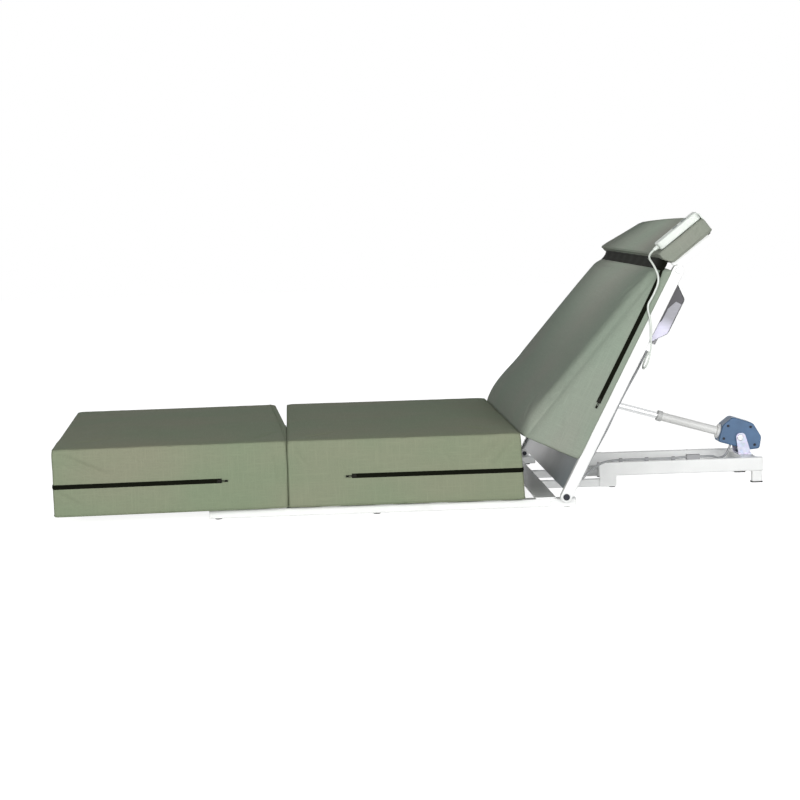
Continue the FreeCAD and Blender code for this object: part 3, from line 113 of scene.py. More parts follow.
PULL_PROUD = 0.003
PULL_GAP = 0.0003
TAB_LENGTH = 0.020
TAB_WIDE = 0.005
TAB_THICK = 0.0014


def lifted(x, z, degrees):
    """The frame of a piece that lies along X and is lifted about the Y axis at (x, z)."""
    return Matrix.Translation((x, 0, z)) @ Matrix.Rotation(-math.radians(degrees), 4, "Y")


def turned_about(x, y, degrees):
    """The frame of a piece that is turned about the upright line through (x, y)."""
    there = Matrix.Translation((x, y, 0))
    return there @ Matrix.Rotation(math.radians(degrees), 4, "Z") @ there.inverted()


LEVEL = Matrix.Identity(4)
LEG_FRAME = turned_about(-SEAM_GAP, -HALF_WIDTH, LEG_SKEW)
BACK_FRAME = lifted(*HINGE, RAIL_ANGLE)
HEAD_PIVOT = BACK_FRAME @ Vector((HEAD_PIVOT_UP, 0, 0))
HEAD_FRAME = lifted(HEAD_PIVOT.x, HEAD_PIVOT.z, HEAD_ANGLE)
REAR_PIN = (1.196, 0.110)
ACTUATOR_ANGLE = 16.277
ACTUATOR_FRAME = (
    Matrix.Translation((REAR_PIN[0], 0, REAR_PIN[1]))
    @ Matrix.Rotation(math.radians(ACTUATOR_ANGLE), 4, "Y")
    @ Matrix.Rotation(math.pi, 4, "Z")
)


# Colours and shader nodes

NOISE = "ShaderNodeTexNoise"
RAMP = "ShaderNodeValToRGB"
MAPPING = "ShaderNodeMapping"
RANGE = "ShaderNodeMapRange"
BUMP = "ShaderNodeBump"
MATH = "ShaderNodeMath"
MIX = "ShaderNodeMix"
# Places of the colour sockets among a Mix node's inputs and outputs
MIX_FIRST = 6
MIX_SECOND = 7
MIX_RESULT = 2


def linear(code):
    """A "#RRGGBB" sRGB colour as the linear colour that shaders take."""
    parts = [int(code[n:n + 2], 16) / 255 for n in (1, 3, 5)]
    return tuple(c / 12.92 if c <= 0.04045 else ((c + 0.055) / 1.055) ** 2.4 for c in parts)


def rgba(colour):
    return (*colour[:3], 1.0)


def shade(colour, factor):
    """A lighter or darker tone of a linear colour."""
    return tuple(min(1.0, c * factor) for c in colour[:3])


def join(tree, node, inputs):
    """Sets sockets to plain values, or links them to an output or to a node's first output."""
    for socket, value in inputs.items():
        if isinstance(value, bpy.types.Node):
            value = value.outputs[0]
        if isinstance(value, bpy.types.NodeSocket):
            tree.links.new(value, node.inputs[socket])
        else:
            node.inputs[socket].default_value = value


def add(tree, kind, inputs=None, stops=(), **settings):
    """Adds a shader node with its settings and links; stops are a colour ramp's two ends."""
    node = tree.nodes.new(kind)
    for name, value in settings.items():
        setattr(node, name, value)
    join(tree, node, inputs or {})
    for n, (position, colour) in enumerate(stops):
        node.color_ramp.elements[n].position = position
        node.color_ramp.elements[n].color = rgba(colour)
    return node


def new_material(name):
    """A material with one Principled shader, and its object coordinates in metres."""
    material = bpy.data.materials.new(name)
    material.use_nodes = True
    tree = material.node_tree
    tree.nodes.clear()
    shader = add(tree, "ShaderNodeBsdfPrincipled")
    add(tree, "ShaderNodeOutputMaterial", {"Surface": shader})
    place = add(tree, "ShaderNodeTexCoord").outputs["Object"]
    return material, tree, shader, place


# Finishes


def powder_coat(name, colour):
    """Powder-coated steel: an even satin film whose faint orange peel softens reflections."""
    material, tree, shader, place = new_material(name)
    peel = add(
        tree, NOISE, {"Vector": place, "Scale": 1 / (3.2 * MM), "Detail": 2.0, "Roughness": 0.55}
    )
    dust = add(
        tree, NOISE, {"Vector": place, "Scale": 1 / (90 * MM), "Detail": 4.0, "Roughness": 0.55}
    )
    join(tree, shader, {
        "Base Color": add(tree, RAMP, {"Fac": dust}, ((0.32, shade(colour, 0.93)), (0.62, colour))),
        "Roughness": add(tree, RANGE, {"Value": dust, "To Min": 0.42, "To Max": 0.3}),
        "IOR": 1.5,
        "Normal": add(tree, BUMP, {"Height": peel, "Distance": 0.06 * MM, "Strength": 0.5}),
    })
    return material


def zinc_plate(name, colour):
    """Zinc-plated sheet: a bluish grey metal with the cloudy spangle of the bath."""
    material, tree, shader, place = new_material(name)
    spangle = add(tree, "ShaderNodeTexVoronoi", {"Vector": place, "Scale": 1 / (7 * MM)})
    cloud = add(
        tree, NOISE, {"Vector": place, "Scale": 1 / (22 * MM), "Detail": 3.0, "Roughness": 0.55}
    )
    tone = add(
        tree, RAMP, {"Fac": cloud}, ((0.3, shade(colour, 0.8)), (0.7, shade(colour, 1.08)))
    )
    mixed = add(
        tree, MIX, {0: 0.12, MIX_FIRST: tone, MIX_SECOND: spangle.outputs["Color"]},
        data_type="RGBA", blend_type="SOFT_LIGHT",
    )
    join(tree, shader, {
        "Base Color": mixed.outputs[MIX_RESULT],
        "Metallic": 0.85,
        "Roughness": add(tree, RANGE, {"Value": cloud, "To Min": 0.34, "To Max": 0.5}),
    })
    return material


def turned_steel(name, colour, roughness):
    """Turned or ground steel: fine lathe rings run across the pin and blur its highlights."""
    material, tree, shader, place = new_material(name)
    run = add(tree, MAPPING, {"Vector": place, "Scale": (1, 40, 1)})
    rings = add(
        tree, NOISE, {"Vector": run, "Scale": 1 / (9 * MM), "Detail": 2.0, "Roughness": 0.55}
    )
    join(tree, shader, {
        "Base Color": add(tree, RAMP, {"Fac": rings}, ((0.3, shade(colour, 0.86)), (0.7, colour))),
        "Metallic": 1.0,
        "Roughness": add(
            tree, RANGE, {"Value": rings, "To Min": roughness, "To Max": roughness + 0.14}
        ),
        "Normal": add(tree, BUMP, {"Height": rings, "Distance": 0.02 * MM, "Strength": 0.6}),
    })
    return material


def chromed_rod(name, colour):
    """Hard-chromed and polished steel: clear reflections with hair-fine rings from grinding."""
    material, tree, shader, place = new_material(name)
    turn = (0, -math.radians(ACTUATOR_ANGLE), 0)
    run = add(tree, MAPPING, {"Vector": place, "Rotation": turn, "Scale": (60, 1, 1)})
    rings = add(
        tree, NOISE, {"Vector": run, "Scale": 1 / (60 * MM), "Detail": 2.0, "Roughness": 0.55}
    )
    join(tree, shader, {
        "Base Color": add(tree, RAMP, {"Fac": rings}, ((0.3, shade(colour, 0.94)), (0.7, colour))),
        "Metallic": 1.0,
        "Roughness": add(tree, RANGE, {"Value": rings, "To Min": 0.1, "To Max": 0.2}),
    })
    return material


def moulded_plastic(name, colour, grit, depth, roughness, flow=0.05):
    """Injection-moulded plastic: an even colour and the fine grit of a spark-eroded mould."""
    material, tree, shader, place = new_material(name)
    texture = add(
        tree, NOISE, {"Vector": place, "Scale": 1 / grit, "Detail": 2.0, "Roughness": 0.6}
    )
    swirl = add(
        tree, NOISE, {"Vector": place, "Scale": 1 / (38 * MM), "Detail": 2.0, "Roughness": 0.55}
    )
    ends = ((0.3, shade(colour, 1 - flow)), (0.7, shade(colour, 1 + flow)))
    join(tree, shader, {
        "Base Color": add(tree, RAMP, {"Fac": swirl}, ends),
        "Roughness": add(
            tree, RANGE, {"Value": texture, "To Min": roughness, "To Max": roughness + 0.1}
        ),
        "IOR": 1.53,
        "Normal": add(tree, BUMP, {"Height": texture, "Distance": depth, "Strength": 0.6}),
    })
    return material


def moulded_rubber(name, colour):
    """Moulded rubber: dull, with a faint bloom of lighter grey."""
    material, tree, shader, place = new_material(name)
    bloom = add(
        tree, NOISE, {"Vector": place, "Scale": 1 / (16 * MM), "Detail": 4.0, "Roughness": 0.55}
    )
    pores = add(
        tree, NOISE, {"Vector": place, "Scale": 1 / (0.9 * MM), "Detail": 3.0, "Roughness": 0.55}
    )
    join(tree, shader, {
        "Base Color": add(tree, RAMP, {"Fac": bloom}, ((0.45, colour), (0.8, shade(colour, 1.7)))),
        "Roughness": add(tree, RANGE, {"Value": bloom, "To Min": 0.7, "To Max": 0.85}),
        "Normal": add(tree, BUMP, {"Height": pores, "Distance": 0.08 * MM, "Strength": 0.6}),
    })
    return material


def extruded_vinyl(name, colour):
    """Extruded vinyl: the smooth, slightly waxy jacket of a cable."""
    material, tree, shader, place = new_material(name)
    scuff = add(
        tree, NOISE, {"Vector": place, "Scale": 1 / (14 * MM), "Detail": 4.0, "Roughness": 0.55}
    )
    waves = add(
        tree, NOISE, {"Vector": place, "Scale": 1 / (2.4 * MM), "Detail": 2.0, "Roughness": 0.55}
    )
    join(tree, shader, {
        "Base Color": add(tree, RAMP, {"Fac": scuff}, ((0.3, shade(colour, 0.88)), (0.6, colour))),
        "Roughness": add(tree, RANGE, {"Value": scuff, "To Min": 0.32, "To Max": 0.46}),
        "Normal": add(tree, BUMP, {"Height": waves, "Distance": 0.05 * MM, "Strength": 0.5}),
    })
    return material


def plywood(name, colour):
    """Birch plywood with a near-black stain, which also paints the shade in the gap between the
    cushions: the stain is dull, and paler where it lies along the grain.
    """
    material, tree, shader, place = new_material(name)
    turn = (0, math.radians(RAIL_ANGLE), 0)
    fine = add(tree, MAPPING, {"Vector": place, "Rotation": turn, "Scale": (9, 1, 9)})
    broad = add(tree, MAPPING, {"Vector": place, "Rotation": turn, "Scale": (3, 0.6, 3)})
    fibres = add(
        tree, NOISE, {"Vector": fine, "Scale": 1 / (28 * MM), "Detail": 6.0, "Roughness": 0.65}
    )
    rings = add(
        tree, NOISE, {"Vector": broad, "Scale": 1 / (60 * MM), "Detail": 2.0, "Roughness": 0.55}
    )
    tone = add(tree, RAMP, {"Fac": fibres}, ((0.32, shade(colour, 0.72)), (0.66, colour)))
    flame = add(
        tree, RAMP, {"Fac": rings}, ((0.4, shade(colour, 0.84)), (0.56, shade(colour, 1.1)))
    )
    mixed = add(
        tree, MIX, {0: 0.5, MIX_FIRST: tone, MIX_SECOND: flame},
        data_type="RGBA", blend_type="MULTIPLY",
    )
    join(tree, shader, {
        "Base Color": mixed.outputs[MIX_RESULT],
        "Roughness": add(tree, RANGE, {"Value": fibres, "To Min": 0.5, "To Max": 0.68}),
        "Normal": add(tree, BUMP, {"Height": fibres, "Distance": 0.12 * MM, "Strength": 0.5}),
    })
    return material


def woven_cover(name, cover, turn, painted_light_tint):
    """Woven polyester cover cloth: matt, with slubbed threads both ways and faded patches.

    The real threads lie about 0.6 mm apart, too fine to show, so they are drawn coarser.
    """
    material, tree, shader, place = new_material(name)
    # painted_light_tint is painted light and shade: it makes lighter, darker and bluer copies of
    # one cloth, one for each cushion, for how the light falls on each.
    cloth = tuple(c * t for c, t in zip(cover.cloth_colour, painted_light_tint))
    faded = tuple(c * t for c, t in zip(cover.faded_colour, painted_light_tint))
    square = add(tree, MAPPING, {"Vector": place, "Rotation": turn})
    threads = None
    for along in ((0.05, 1, 1), (1, 0.05, 1), (1, 1, 0.05)):
        run = add(tree, MAPPING, {"Vector": square, "Scale": along})
        slubs = add(
            tree, NOISE, {"Vector": run, "Scale": 1 / (3.2 * MM), "Detail": 3.0, "Roughness": 0.7}
        )
        threads = slubs if threads is None else add(
            tree, MATH, {0: threads, 1: slubs}, operation="MAXIMUM"
        )
    wide = add(tree, MAPPING, {"Vector": square, "Scale": (0.6, 0.6, 1)})
    patches = add(
        tree, NOISE, {"Vector": wide, "Scale": 1 / (170 * MM), "Detail": 2.0, "Roughness": 0.5}
    )
    patch = add(tree, RAMP, {"Fac": patches}, ((0.36, cloth), (0.74, faded)))
    thread = add(
        tree, RAMP, {"Fac": threads}, ((0.45, (0.93, 0.93, 0.93)), (0.7, (1.05, 1.05, 1.05)))
    )
    tone = add(
        tree, MIX, {0: 1.0, MIX_FIRST: patch, MIX_SECOND: thread},
        data_type="RGBA", blend_type="MULTIPLY",
    )
    weave = None
    for axis in "XYZ":
        bands = add(
            tree, "ShaderNodeTexWave",
            {"Vector": square, "Scale": 1 / (20 * cover.thread_spacing / math.tau),
             "Distortion": 0.6, "Detail": 1.0},
            wave_type="BANDS", bands_direction=axis,
        ).outputs["Fac"]
        weave = bands if weave is None else add(
            tree, MATH, {0: weave, 1: bands}, operation="ADD"
        )
    soft = add(
        tree, NOISE, {"Vector": square, "Scale": 1 / (42 * MM), "Detail": 3.0, "Roughness": 0.55}
    )
    under = add(tree, BUMP, {"Height": soft, "Distance": 1.6 * MM, "Strength": 0.7})
    join(tree, shader, {
        "Base Color": tone.outputs[MIX_RESULT],
        "Roughness": 0.88,
        "Specular IOR Level": 0.08,
        "Sheen Weight": 0.03,
        "Sheen Roughness": 0.45,
        "Normal": add(
            tree, BUMP,
            {"Height": weave, "Distance": 0.16 * MM, "Strength": 0.5, "Normal": under},
        ),
    })
    return material


def zip_cloth(name, colour, spacing):
    """Woven zip tape or nylon coil: black, with a faint lengthwise rib and a dull shine."""
    material, tree, shader, place = new_material(name)
    rib = add(
        tree, NOISE, {"Vector": place, "Scale": 1 / spacing, "Detail": 2.0, "Roughness": 0.55}
    )
    ends = ((0.35, shade(colour, 0.7)), (0.65, shade(colour, 1.5)))
    join(tree, shader, {
        "Base Color": add(tree, RAMP, {"Fac": rib}, ends),
        "Roughness": add(tree, RANGE, {"Value": rib, "To Min": 0.7, "To Max": 0.85}),
        "Specular IOR Level": 0.06,
        "Normal": add(tree, BUMP, {"Height": rib, "Distance": 0.15 * MM, "Strength": 0.6}),
    })
    return material


def brushed_aluminium(name, colour, second, start, reach):
    """Brushed and anodised aluminium: fine lines along the box, and a painted shade that darkens it
    from colour to second towards its upper end.
    """
    material, tree, shader, place = new_material(name)
    turn = (0, math.radians(RAIL_ANGLE), 0)
    run = add(tree, MAPPING, {"Vector": place, "Rotation": turn, "Scale": (0.02, 1, 1)})
    lines = add(
        tree, NOISE, {"Vector": run, "Scale": 1 / (1.4 * MM), "Detail": 2.0, "Roughness": 0.55}
    )
    square = add(tree, MAPPING, {"Vector": place, "Rotation": turn})
    parts = add(tree, "ShaderNodeSeparateXYZ", {"Vector": square})
    share = add(
        tree, RANGE, {"Value": parts.outputs["X"], "From Min": start, "From Max": start + reach}
    )
    tone = add(tree, RAMP, {"Fac": share}, ((0.0, colour), (1.0, second)))
    streak = add(
        tree, RAMP, {"Fac": lines}, ((0.35, (0.94, 0.94, 0.94)), (0.65, (1.04, 1.04, 1.04)))
    )
    mixed = add(
        tree, MIX, {0: 1.0, MIX_FIRST: tone, MIX_SECOND: streak},
        data_type="RGBA", blend_type="MULTIPLY",
    )
    join(tree, shader, {
        "Base Color": mixed.outputs[MIX_RESULT],
        "Metallic": 0.25,
        "Roughness": add(tree, RANGE, {"Value": lines, "To Min": 0.36, "To Max": 0.48}),
        "Normal": add(tree, BUMP, {"Height": lines, "Distance": 0.02 * MM, "Strength": 0.5}),
    })
    return material


# Meshes


def link(name, mesh):
    piece = bpy.data.objects.new(name, mesh)
    bpy.context.scene.collection.objects.link(piece)
    return piece


def dress(piece, *materials):
    """Gives a piece these materials in place of any that it has."""
    piece.data.materials.clear()
    for material in materials:
        piece.data.materials.append(material)


def dress_nodes(material, *names):
    for name in names:
        dress(NODES[name], material)


def evaluated(piece):
    """The piece's mesh with its modifiers applied."""
    graph = bpy.context.evaluated_depsgraph_get()
    return bpy.data.meshes.new_from_object(piece.evaluated_get(graph))


def coordinates(mesh):
    flat = np.empty(len(mesh.vertices) * 3, np.float64)
    mesh.vertices.foreach_get("co", flat)
    return flat.reshape(-1, 3)


def set_coordinates(mesh, points):
    mesh.vertices.foreach_set("co", points.astype(np.float32).ravel())
    mesh.update()


def vertex_normals(mesh):
    flat = np.empty(len(mesh.vertices) * 3, np.float64)
    mesh.vertices.foreach_get("normal", flat)
    return flat.reshape(-1, 3)


def smooth(mesh):
    mesh.polygons.foreach_set("use_smooth", [True] * len(mesh.polygons))
    mesh.update()


def apply_modifiers(piece):
    mesh = evaluated(piece)
    piece.modifiers.clear()
    piece.data = mesh
    return mesh


def remeshed(piece, voxel):
    modifier = piece.modifiers.new("voxels", "REMESH")
    modifier.mode = "VOXEL"
    modifier.voxel_size = voxel
    return apply_modifiers(piece)


def inflated(piece, cover, still):
    """Lets air into the cover for a few frames and gives how far each point moved."""
    before = coordinates(piece.data)
    cloth = piece.modifiers.new("cloth", "CLOTH")
    cloth.settings.quality = 4
    cloth.settings.mass = 0.25
    cloth.settings.tension_stiffness = 12
    cloth.settings.compression_stiffness = 6
    cloth.settings.shear_stiffness = 5
    cloth.settings.bending_stiffness = 0.6
    cloth.settings.use_pressure = True
    cloth.settings.uniform_pressure_force = cover.pressure
    cloth.settings.effector_weights.gravity = 0
    cloth.collision_settings.use_collision = False
    cloth.point_cache.frame_start = 1
    cloth.point_cache.frame_end = BLOWN_FRAMES
    group = piece.vertex_groups.new(name="still")
    group.add([int(n) for n in np.nonzero(still(before))[0]], 1.0, "REPLACE")
    cloth.settings.vertex_group_mass = "still"
    for step in range(1, BLOWN_FRAMES + 1):
        bpy.context.scene.frame_set(step)
    moved = coordinates(apply_modifiers(piece)) - before
    bpy.context.scene.frame_set(1)
    piece.vertex_groups.clear()
    return before, moved


def swollen(points, normals, moved, most):
    """Moves points outwards as the air does, ever more slowly and never past most."""
    outwards = np.maximum((moved * normals).sum(1), 0)
    return points + normals * (most * np.tanh(outwards / most))[:, None]


def crisped(points, low, high, reach):
    """Fits points between two corners and draws the rounded edges within reach out to them."""
    least, most = points.min(0), points.max(0)
    points = low + (points - least) / (most - least) * (high - low)
    radius = np.minimum(reach, (high - low) * 0.45)
    for corner, side in ((low, 1), (high, -1)):
        share = np.minimum((points - corner) * side / radius, 1)
        drawn = share ** 2 * (2 - share)
        points = np.where(share < 1, corner + side * drawn * radius, points)
    return points


def crowned(points, start, end, base, face, rise):
    """Raises the middle of a cushion's upper face, which stands at height face(x), by rise."""
    x, y, z = points.T
    height = np.clip((z - base) / (face(x) - base), 0, 1)
    along = 2 * (x - start) / (end - start) - 1
    lift = rise * height * np.clip(1 - (y / HALF_WIDTH) ** 2, 0, 1) * np.clip(1 - along ** 4, 0, 1)
    return np.stack((x, y, z + lift), 1)


EDGE_SOFTNESS = 0.28


def edges_eased(points, face, radius):
    """Softens the two long edges of a cushion's upper face, which stands at height face(x)."""
    x, y, z = points.T
    across = np.clip(1 - (HALF_WIDTH - np.abs(y)) / radius, 0, 1)
    above = np.clip(1 - (face(x) - z) / radius, 0, 1)
    inwards = EDGE_SOFTNESS * radius * across ** 2 * above ** 2
    return np.stack((x, y - np.sign(y) * inwards, z - inwards), 1)


def creased(points, normals, creases):
    """Presses folds into a cover; each is (start, end, half width, depth)."""
    for start, end, half_width, depth in creases:
        start, end = np.array(start), np.array(end)
        run = end - start
        share = np.clip((points - start) @ run / (run @ run), 0, 1)
        away = np.linalg.norm(points - start - share[:, None] * run, axis=1)
        fade = np.sin(np.pi * (0.08 + 0.84 * share))
        valley = np.exp(-((away / half_width) ** 2))
        ridge = np.exp(-(((away - 1.9 * half_width) / half_width) ** 2))
        points = points + normals * (fade * depth * (0.55 * ridge - valley))[:, None]
    return points


# How far a solid shrinks before it is blown up, the size of its faces, and how far it may swell
SHRUNK = 0.001
CUSHION_VOXEL = 0.008
HEAD_VOXEL = 0.006
CUSHION_SWELL = 0.004
HEAD_SWELL = 0.003
BLOWN_FRAMES = 20
# Room of the covers beside the solids, over the mattress, and under the handset
COVER_SIDE = HALF_WIDTH + 0.0003
FOLD_ROOM = 0.001
HANDSET_ROOM = 0.0002
# How far from each end, side and face a cushion is rounded
SQUARE_ENDS = (0.030, 0.030, 0.030)
LEANING_ENDS = (0.012, 0.030, 0.030)


def cushion(name, node, body, place, cover, voxel, crisp, swell, limits, creases, shaped):
    """A foam cushion in a sewn cover, blown up by simulation and then creased and shaped.

    place is its own frame, in which it lies flat; limits are the lowest and highest corners
    that it keeps within there, before shaped moves its points for its crown and its ends.
    """
    mesh = NODES[node].data.copy()
    mesh.transform(place.inverted())
    points = coordinates(mesh)
    middle = (points.max(0) + points.min(0)) / 2
    half = (points.max(0) - points.min(0)) / 2
    set_coordinates(mesh, middle + (points - middle) * (half - SHRUNK) / half)
    piece = link(name, mesh)
    remeshed(piece, voxel)
    floor = points.min(0)[2] + SHRUNK + voxel / 2
    normals = vertex_normals(piece.data)
    before, moved = inflated(piece, cover, lambda at: at[:, 2] < floor)
    set_coordinates(piece.data, swollen(before, normals, moved, swell))
    rounding = piece.modifiers.new("rounding", "SUBSURF")
    rounding.levels = 1
    rounding.render_levels = 1
    apply_modifiers(piece)
    low, high = (np.array(corner) for corner in limits)
    set_coordinates(piece.data, crisped(coordinates(piece.data), low, high, crisp))
    folded = creased(coordinates(piece.data), vertex_normals(piece.data), creases)
    set_coordinates(piece.data, shaped(np.clip(folded, low, high)))
    piece.data.transform(place)
    smooth(piece.data)
    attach(piece, body)
    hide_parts(node)
    return piece


ROUTE_STEP = 0.012
SURFACE_REACH = 0.03


def rounded_route(x0, x1, half_width, corner, step):
    """Points and outward directions round the end at x0 of a rounded rectangle.

    They run from (x1, -half_width) to (x1, half_width).
    """
    towards = 1 if x0 > x1 else -1
    centre = x0 - towards * corner
    straight = max(2, int(abs(centre - x1) / step))
    near = [
        (Vector((x1 + (centre - x1) * n / straight, -half_width, 0)), Vector((0, -1, 0)))
        for n in range(straight)
    ]
    bend = []
    turns = 8
    for n in range(turns + 1):
        angle = math.pi / 2 * n / turns
        out = Vector((towards * math.sin(angle), -math.cos(angle), 0))
        bend.append((Vector((centre, -half_width + corner, 0)) + out * corner, out))
    across = max(2, int((half_width - corner) / step))
    end = [
        (Vector((x0, (-half_width + corner) * (1 - n / across), 0)), Vector((towards, 0, 0)))
        for n in range(1, across)
    ]
    half = near + bend + end
    mirrored = [
        (Vector((at.x, -at.y, 0)), Vector((out.x, -out.y, 0))) for at, out in reversed(half)
    ]
    return half + mirrored


def on_surface(tree, place, points, outs, reach):
    """Where rays from outside meet a cover, with the outward directions, in the cover's frame."""
    found = []
    back = place.inverted()
    for at, out in zip(points, outs):
        start = place @ (at + out * reach)
        direction = (place.to_3x3() @ -out).normalized()
        hit = tree.ray_cast(start, direction, reach * 3)[0]
        if hit is not None:
            found.append((back @ hit, out))
    return found


def tree_of(piece):
    graph = bpy.context.evaluated_depsgraph_get()
    return BVHTree.FromObject(piece, graph)


def strip(bm, route, up, profile, slot):
    """Lofts an open profile of (upwards, outwards) offsets along a route, with its ends closed."""
    rows = []
    for at, out in route:
        rows.append([bm.verts.new(at + up * high + out * proud) for high, proud in profile])
    for one, other in zip(rows, rows[1:]):
        for n in range(len(profile)):
            m = (n + 1) % len(profile)
            face = bm.faces.new((one[n], one[m], other[m], other[n]))
            face.material_index = slot
    for row in (rows[0], rows[-1]):
        bm.faces.new(row).material_index = slot


def tooth(bm, at, along, out, up, size, slot):
    """One rounded coil of the zip, as a small tapered block."""
    length, tall, proud = size
    low = [
        bm.verts.new(at + along * a * length / 2 + up * u * tall / 2)
        for a, u in ((-1, -1), (1, -1), (1, 1), (-1, 1))
    ]
    high = [
        bm.verts.new(at + along * a * length / 3 + up * u * tall / 2.6 + out * proud)
        for a, u in ((-1, -1), (1, -1), (1, 1), (-1, 1))
    ]
    faces = [high]
    for n in range(4):
        m = (n + 1) % 4
        faces.append([low[n], low[m], high[m], high[n]])
    for corners in faces:
        bm.faces.new(corners).material_index = slot


def finish_mesh(bm, name):
    bmesh.ops.recalc_face_normals(bm, faces=bm.faces)
    mesh = bpy.data.meshes.new(name)
    bm.to_mesh(mesh)
    bm.free()
    return mesh


TAPE_PROFILE = [
    (-5.5 * MM, -1.6 * MM), (-5.5 * MM, 0.7 * MM), (-5.0 * MM, 1.0 * MM), (-1.2 * MM, 1.1 * MM),
    (1.2 * MM, 1.1 * MM), (5.0 * MM, 1.0 * MM), (5.5 * MM, 0.7 * MM), (5.5 * MM, -1.6 * MM),
]
TOOTH_PITCH = 3.0 * MM
TOOTH_SIZE = (2.0 * MM, 2.9 * MM, 0.9 * MM)
TOOTH_OFFSET = 1.1 * MM
TOOTH_BASE = 0.9 * MM
STOP_SIZE = (3 * MM, 6 * MM, 1.1 * MM)
STOP_INSET = 2 * MM


def zip_fastener(name, node, body, carrier, place, route, height, materials):
    """A zip round one end of a cushion: its tape, its two rows of teeth and a stop at each end."""
    up = Vector((0, 0, 1))
    surface = tree_of(carrier)
    points = [at + up * height for at, _ in route]
    found = on_surface(surface, place, points, [out for _, out in route], SURFACE_REACH)
    bm = bmesh.new()
    strip(bm, found, up, TAPE_PROFILE, 0)
    travelled = 0.0
    side = 1
    for (one, out), (other, _) in zip(found, found[1:]):
        run = (other - one).length
        along = (other - one).normalized()
        while travelled < run:
            at = one + along * travelled + out * TOOTH_BASE
            for row in (-1, 1):
                slip = along * TOOTH_PITCH / 2 if row > 0 else Vector((0, 0, 0))
                tooth(bm, at + slip + up * row * TOOTH_OFFSET, along, out, up, TOOTH_SIZE, 1)
            travelled += TOOTH_PITCH
        travelled -= run
    for (at, out), (beside, _) in ((found[0], found[1]), (found[-1], found[-2])):
        along = (beside - at).normalized()
        centre = at + along * STOP_INSET + out * TOOTH_BASE
        tooth(bm, centre, along, out, up, STOP_SIZE, 2)
    mesh = finish_mesh(bm, name)
    mesh.transform(place)
    piece = link(name, mesh)
    dress(piece, *materials)
    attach(piece, body)
    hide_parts(node)
    return piece


def rounded_block(bm, low, high, bevel):
    """A block between two corners with bevelled edges."""
    made = bmesh.ops.create_cube(bm, size=1.0)["verts"]
    low, high = Vector(low), Vector(high)
    for vertex in made:
        for n in range(3):
            vertex.co[n] = (low[n] + high[n]) / 2 + vertex.co[n] * (high[n] - low[n])
    edges = list({edge for vertex in made for edge in vertex.link_edges})
    bmesh.ops.bevel(bm, geom=edges, offset=bevel, segments=3, affect="EDGES", profile=0.6)


def zip_pull(name, node, body, place, x, height, towards, material):
    """A cast slider with its bridge, and a pull tab whose end has a slot for the fingers."""
    face = -HALF_WIDTH - ZIP_PROUD - PULL_GAP
    low, high = sorted((x, x + towards * PULL_LENGTH))
    front = face - PULL_PROUD
    bm = bmesh.new()
    rounded_block(
        bm, (low, front + 0.9 * MM, height - PULL_TALL / 2),
        (high, face, height + PULL_TALL / 2), 0.9 * MM,
    )
    middle = (low + high) / 2
    rounded_block(
        bm, (middle - 3 * MM, front, height - 1.3 * MM),
        (middle + 3 * MM, front + 1.4 * MM, height + 1.3 * MM), 0.5 * MM,
    )
    tab_start, tab_end = sorted((middle, middle + towards * TAB_LENGTH))
    for edge in (-1, 1):
        rounded_block(
            bm,
            (tab_start, front, height + edge * (TAB_WIDE / 2 - 0.7 * MM) - 0.7 * MM),
            (tab_end, front + TAB_THICK, height + edge * (TAB_WIDE / 2 - 0.7 * MM) + 0.7 * MM),
            0.4 * MM,
        )
    tip = middle + towards * (TAB_LENGTH - 3.5 * MM)
    rounded_block(
        bm, (tip - 3.4 * MM, front, height - TAB_WIDE / 2),
        (tip + 3.4 * MM, front + TAB_THICK, height + TAB_WIDE / 2), 0.4 * MM,
    )
    mesh = finish_mesh(bm, name)
    mesh.transform(place)
    piece = link(name, mesh)
    dress(piece, material)
    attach(piece, body)
    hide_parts(node)
    return piece


SEAM_RADIUS = 1.1 * MM


def sewn_seam(name, carrier, body, place, points, outs, material):
    """The raised seam where two panels of a cover are sewn together along an edge."""
    found = on_surface(tree_of(carrier), place, points, outs, SURFACE_REACH)
    bm = bmesh.new()
    rings = []
    count = len(found)
    sides = 6
    for n, (at, out) in enumerate(found):
        along = (found[(n + 1) % count][0] - found[n - 1][0]).normalized()
        side = along.cross(out).normalized()
        radius = SEAM_RADIUS * (1 + 0.12 * math.sin(n * 2.3))
        centre = at + out * SEAM_RADIUS * 0.3
        rings.append([
            bm.verts.new(
                centre + (side * math.cos(a) + out * math.sin(a)) * radius
            )
            for a in (math.tau * k / sides for k in range(sides))
        ])
    for n in range(count):
        one, other = rings[n], rings[(n + 1) % count]
        for k in range(sides):
            m = (k + 1) % sides
            bm.faces.new((one[k], one[m], other[m], other[k]))
    mesh = finish_mesh(bm, name)
    mesh.transform(place)
    smooth(mesh)
    piece = link(name, mesh)
    dress(piece, material)
    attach(piece, body)
    return piece


def full_route(x0, x1, half_width, corner, step):
    """Points and outward directions all round a rounded rectangle."""
    middle = (x0 + x1) / 2
    first = rounded_route(x0, middle, half_width, corner, step)
    second = rounded_route(x1, middle, half_width, corner, step)
    return first + list(reversed(second))


# Cords


def cord(name, node, route, diameter, material):
    """A cable along its route, as a mesh tube that belongs to no body."""
    curve = bpy.data.curves.new(name, "CURVE")
    curve.dimensions = "3D"
    curve.resolution_u = 10
    spline = curve.splines.new("NURBS")
    spline.points.add(len(route) - 1)
    for point, at in zip(spline.points, route):
        point.co = (*at, 1.0)
    spline.order_u = 3
    spline.use_endpoint_u = True
    line = link(name + "_line", curve)
    bare = evaluated(line)
    curve.bevel_depth = diameter / 2
    curve.bevel_resolution = 4
    curve.use_fill_caps = True
    mesh = evaluated(line)
    smooth(mesh)
    piece = link(name, mesh)
    bpy.data.objects.remove(line)
    dress(piece, material)
    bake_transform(piece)
    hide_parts(node)
    return piece


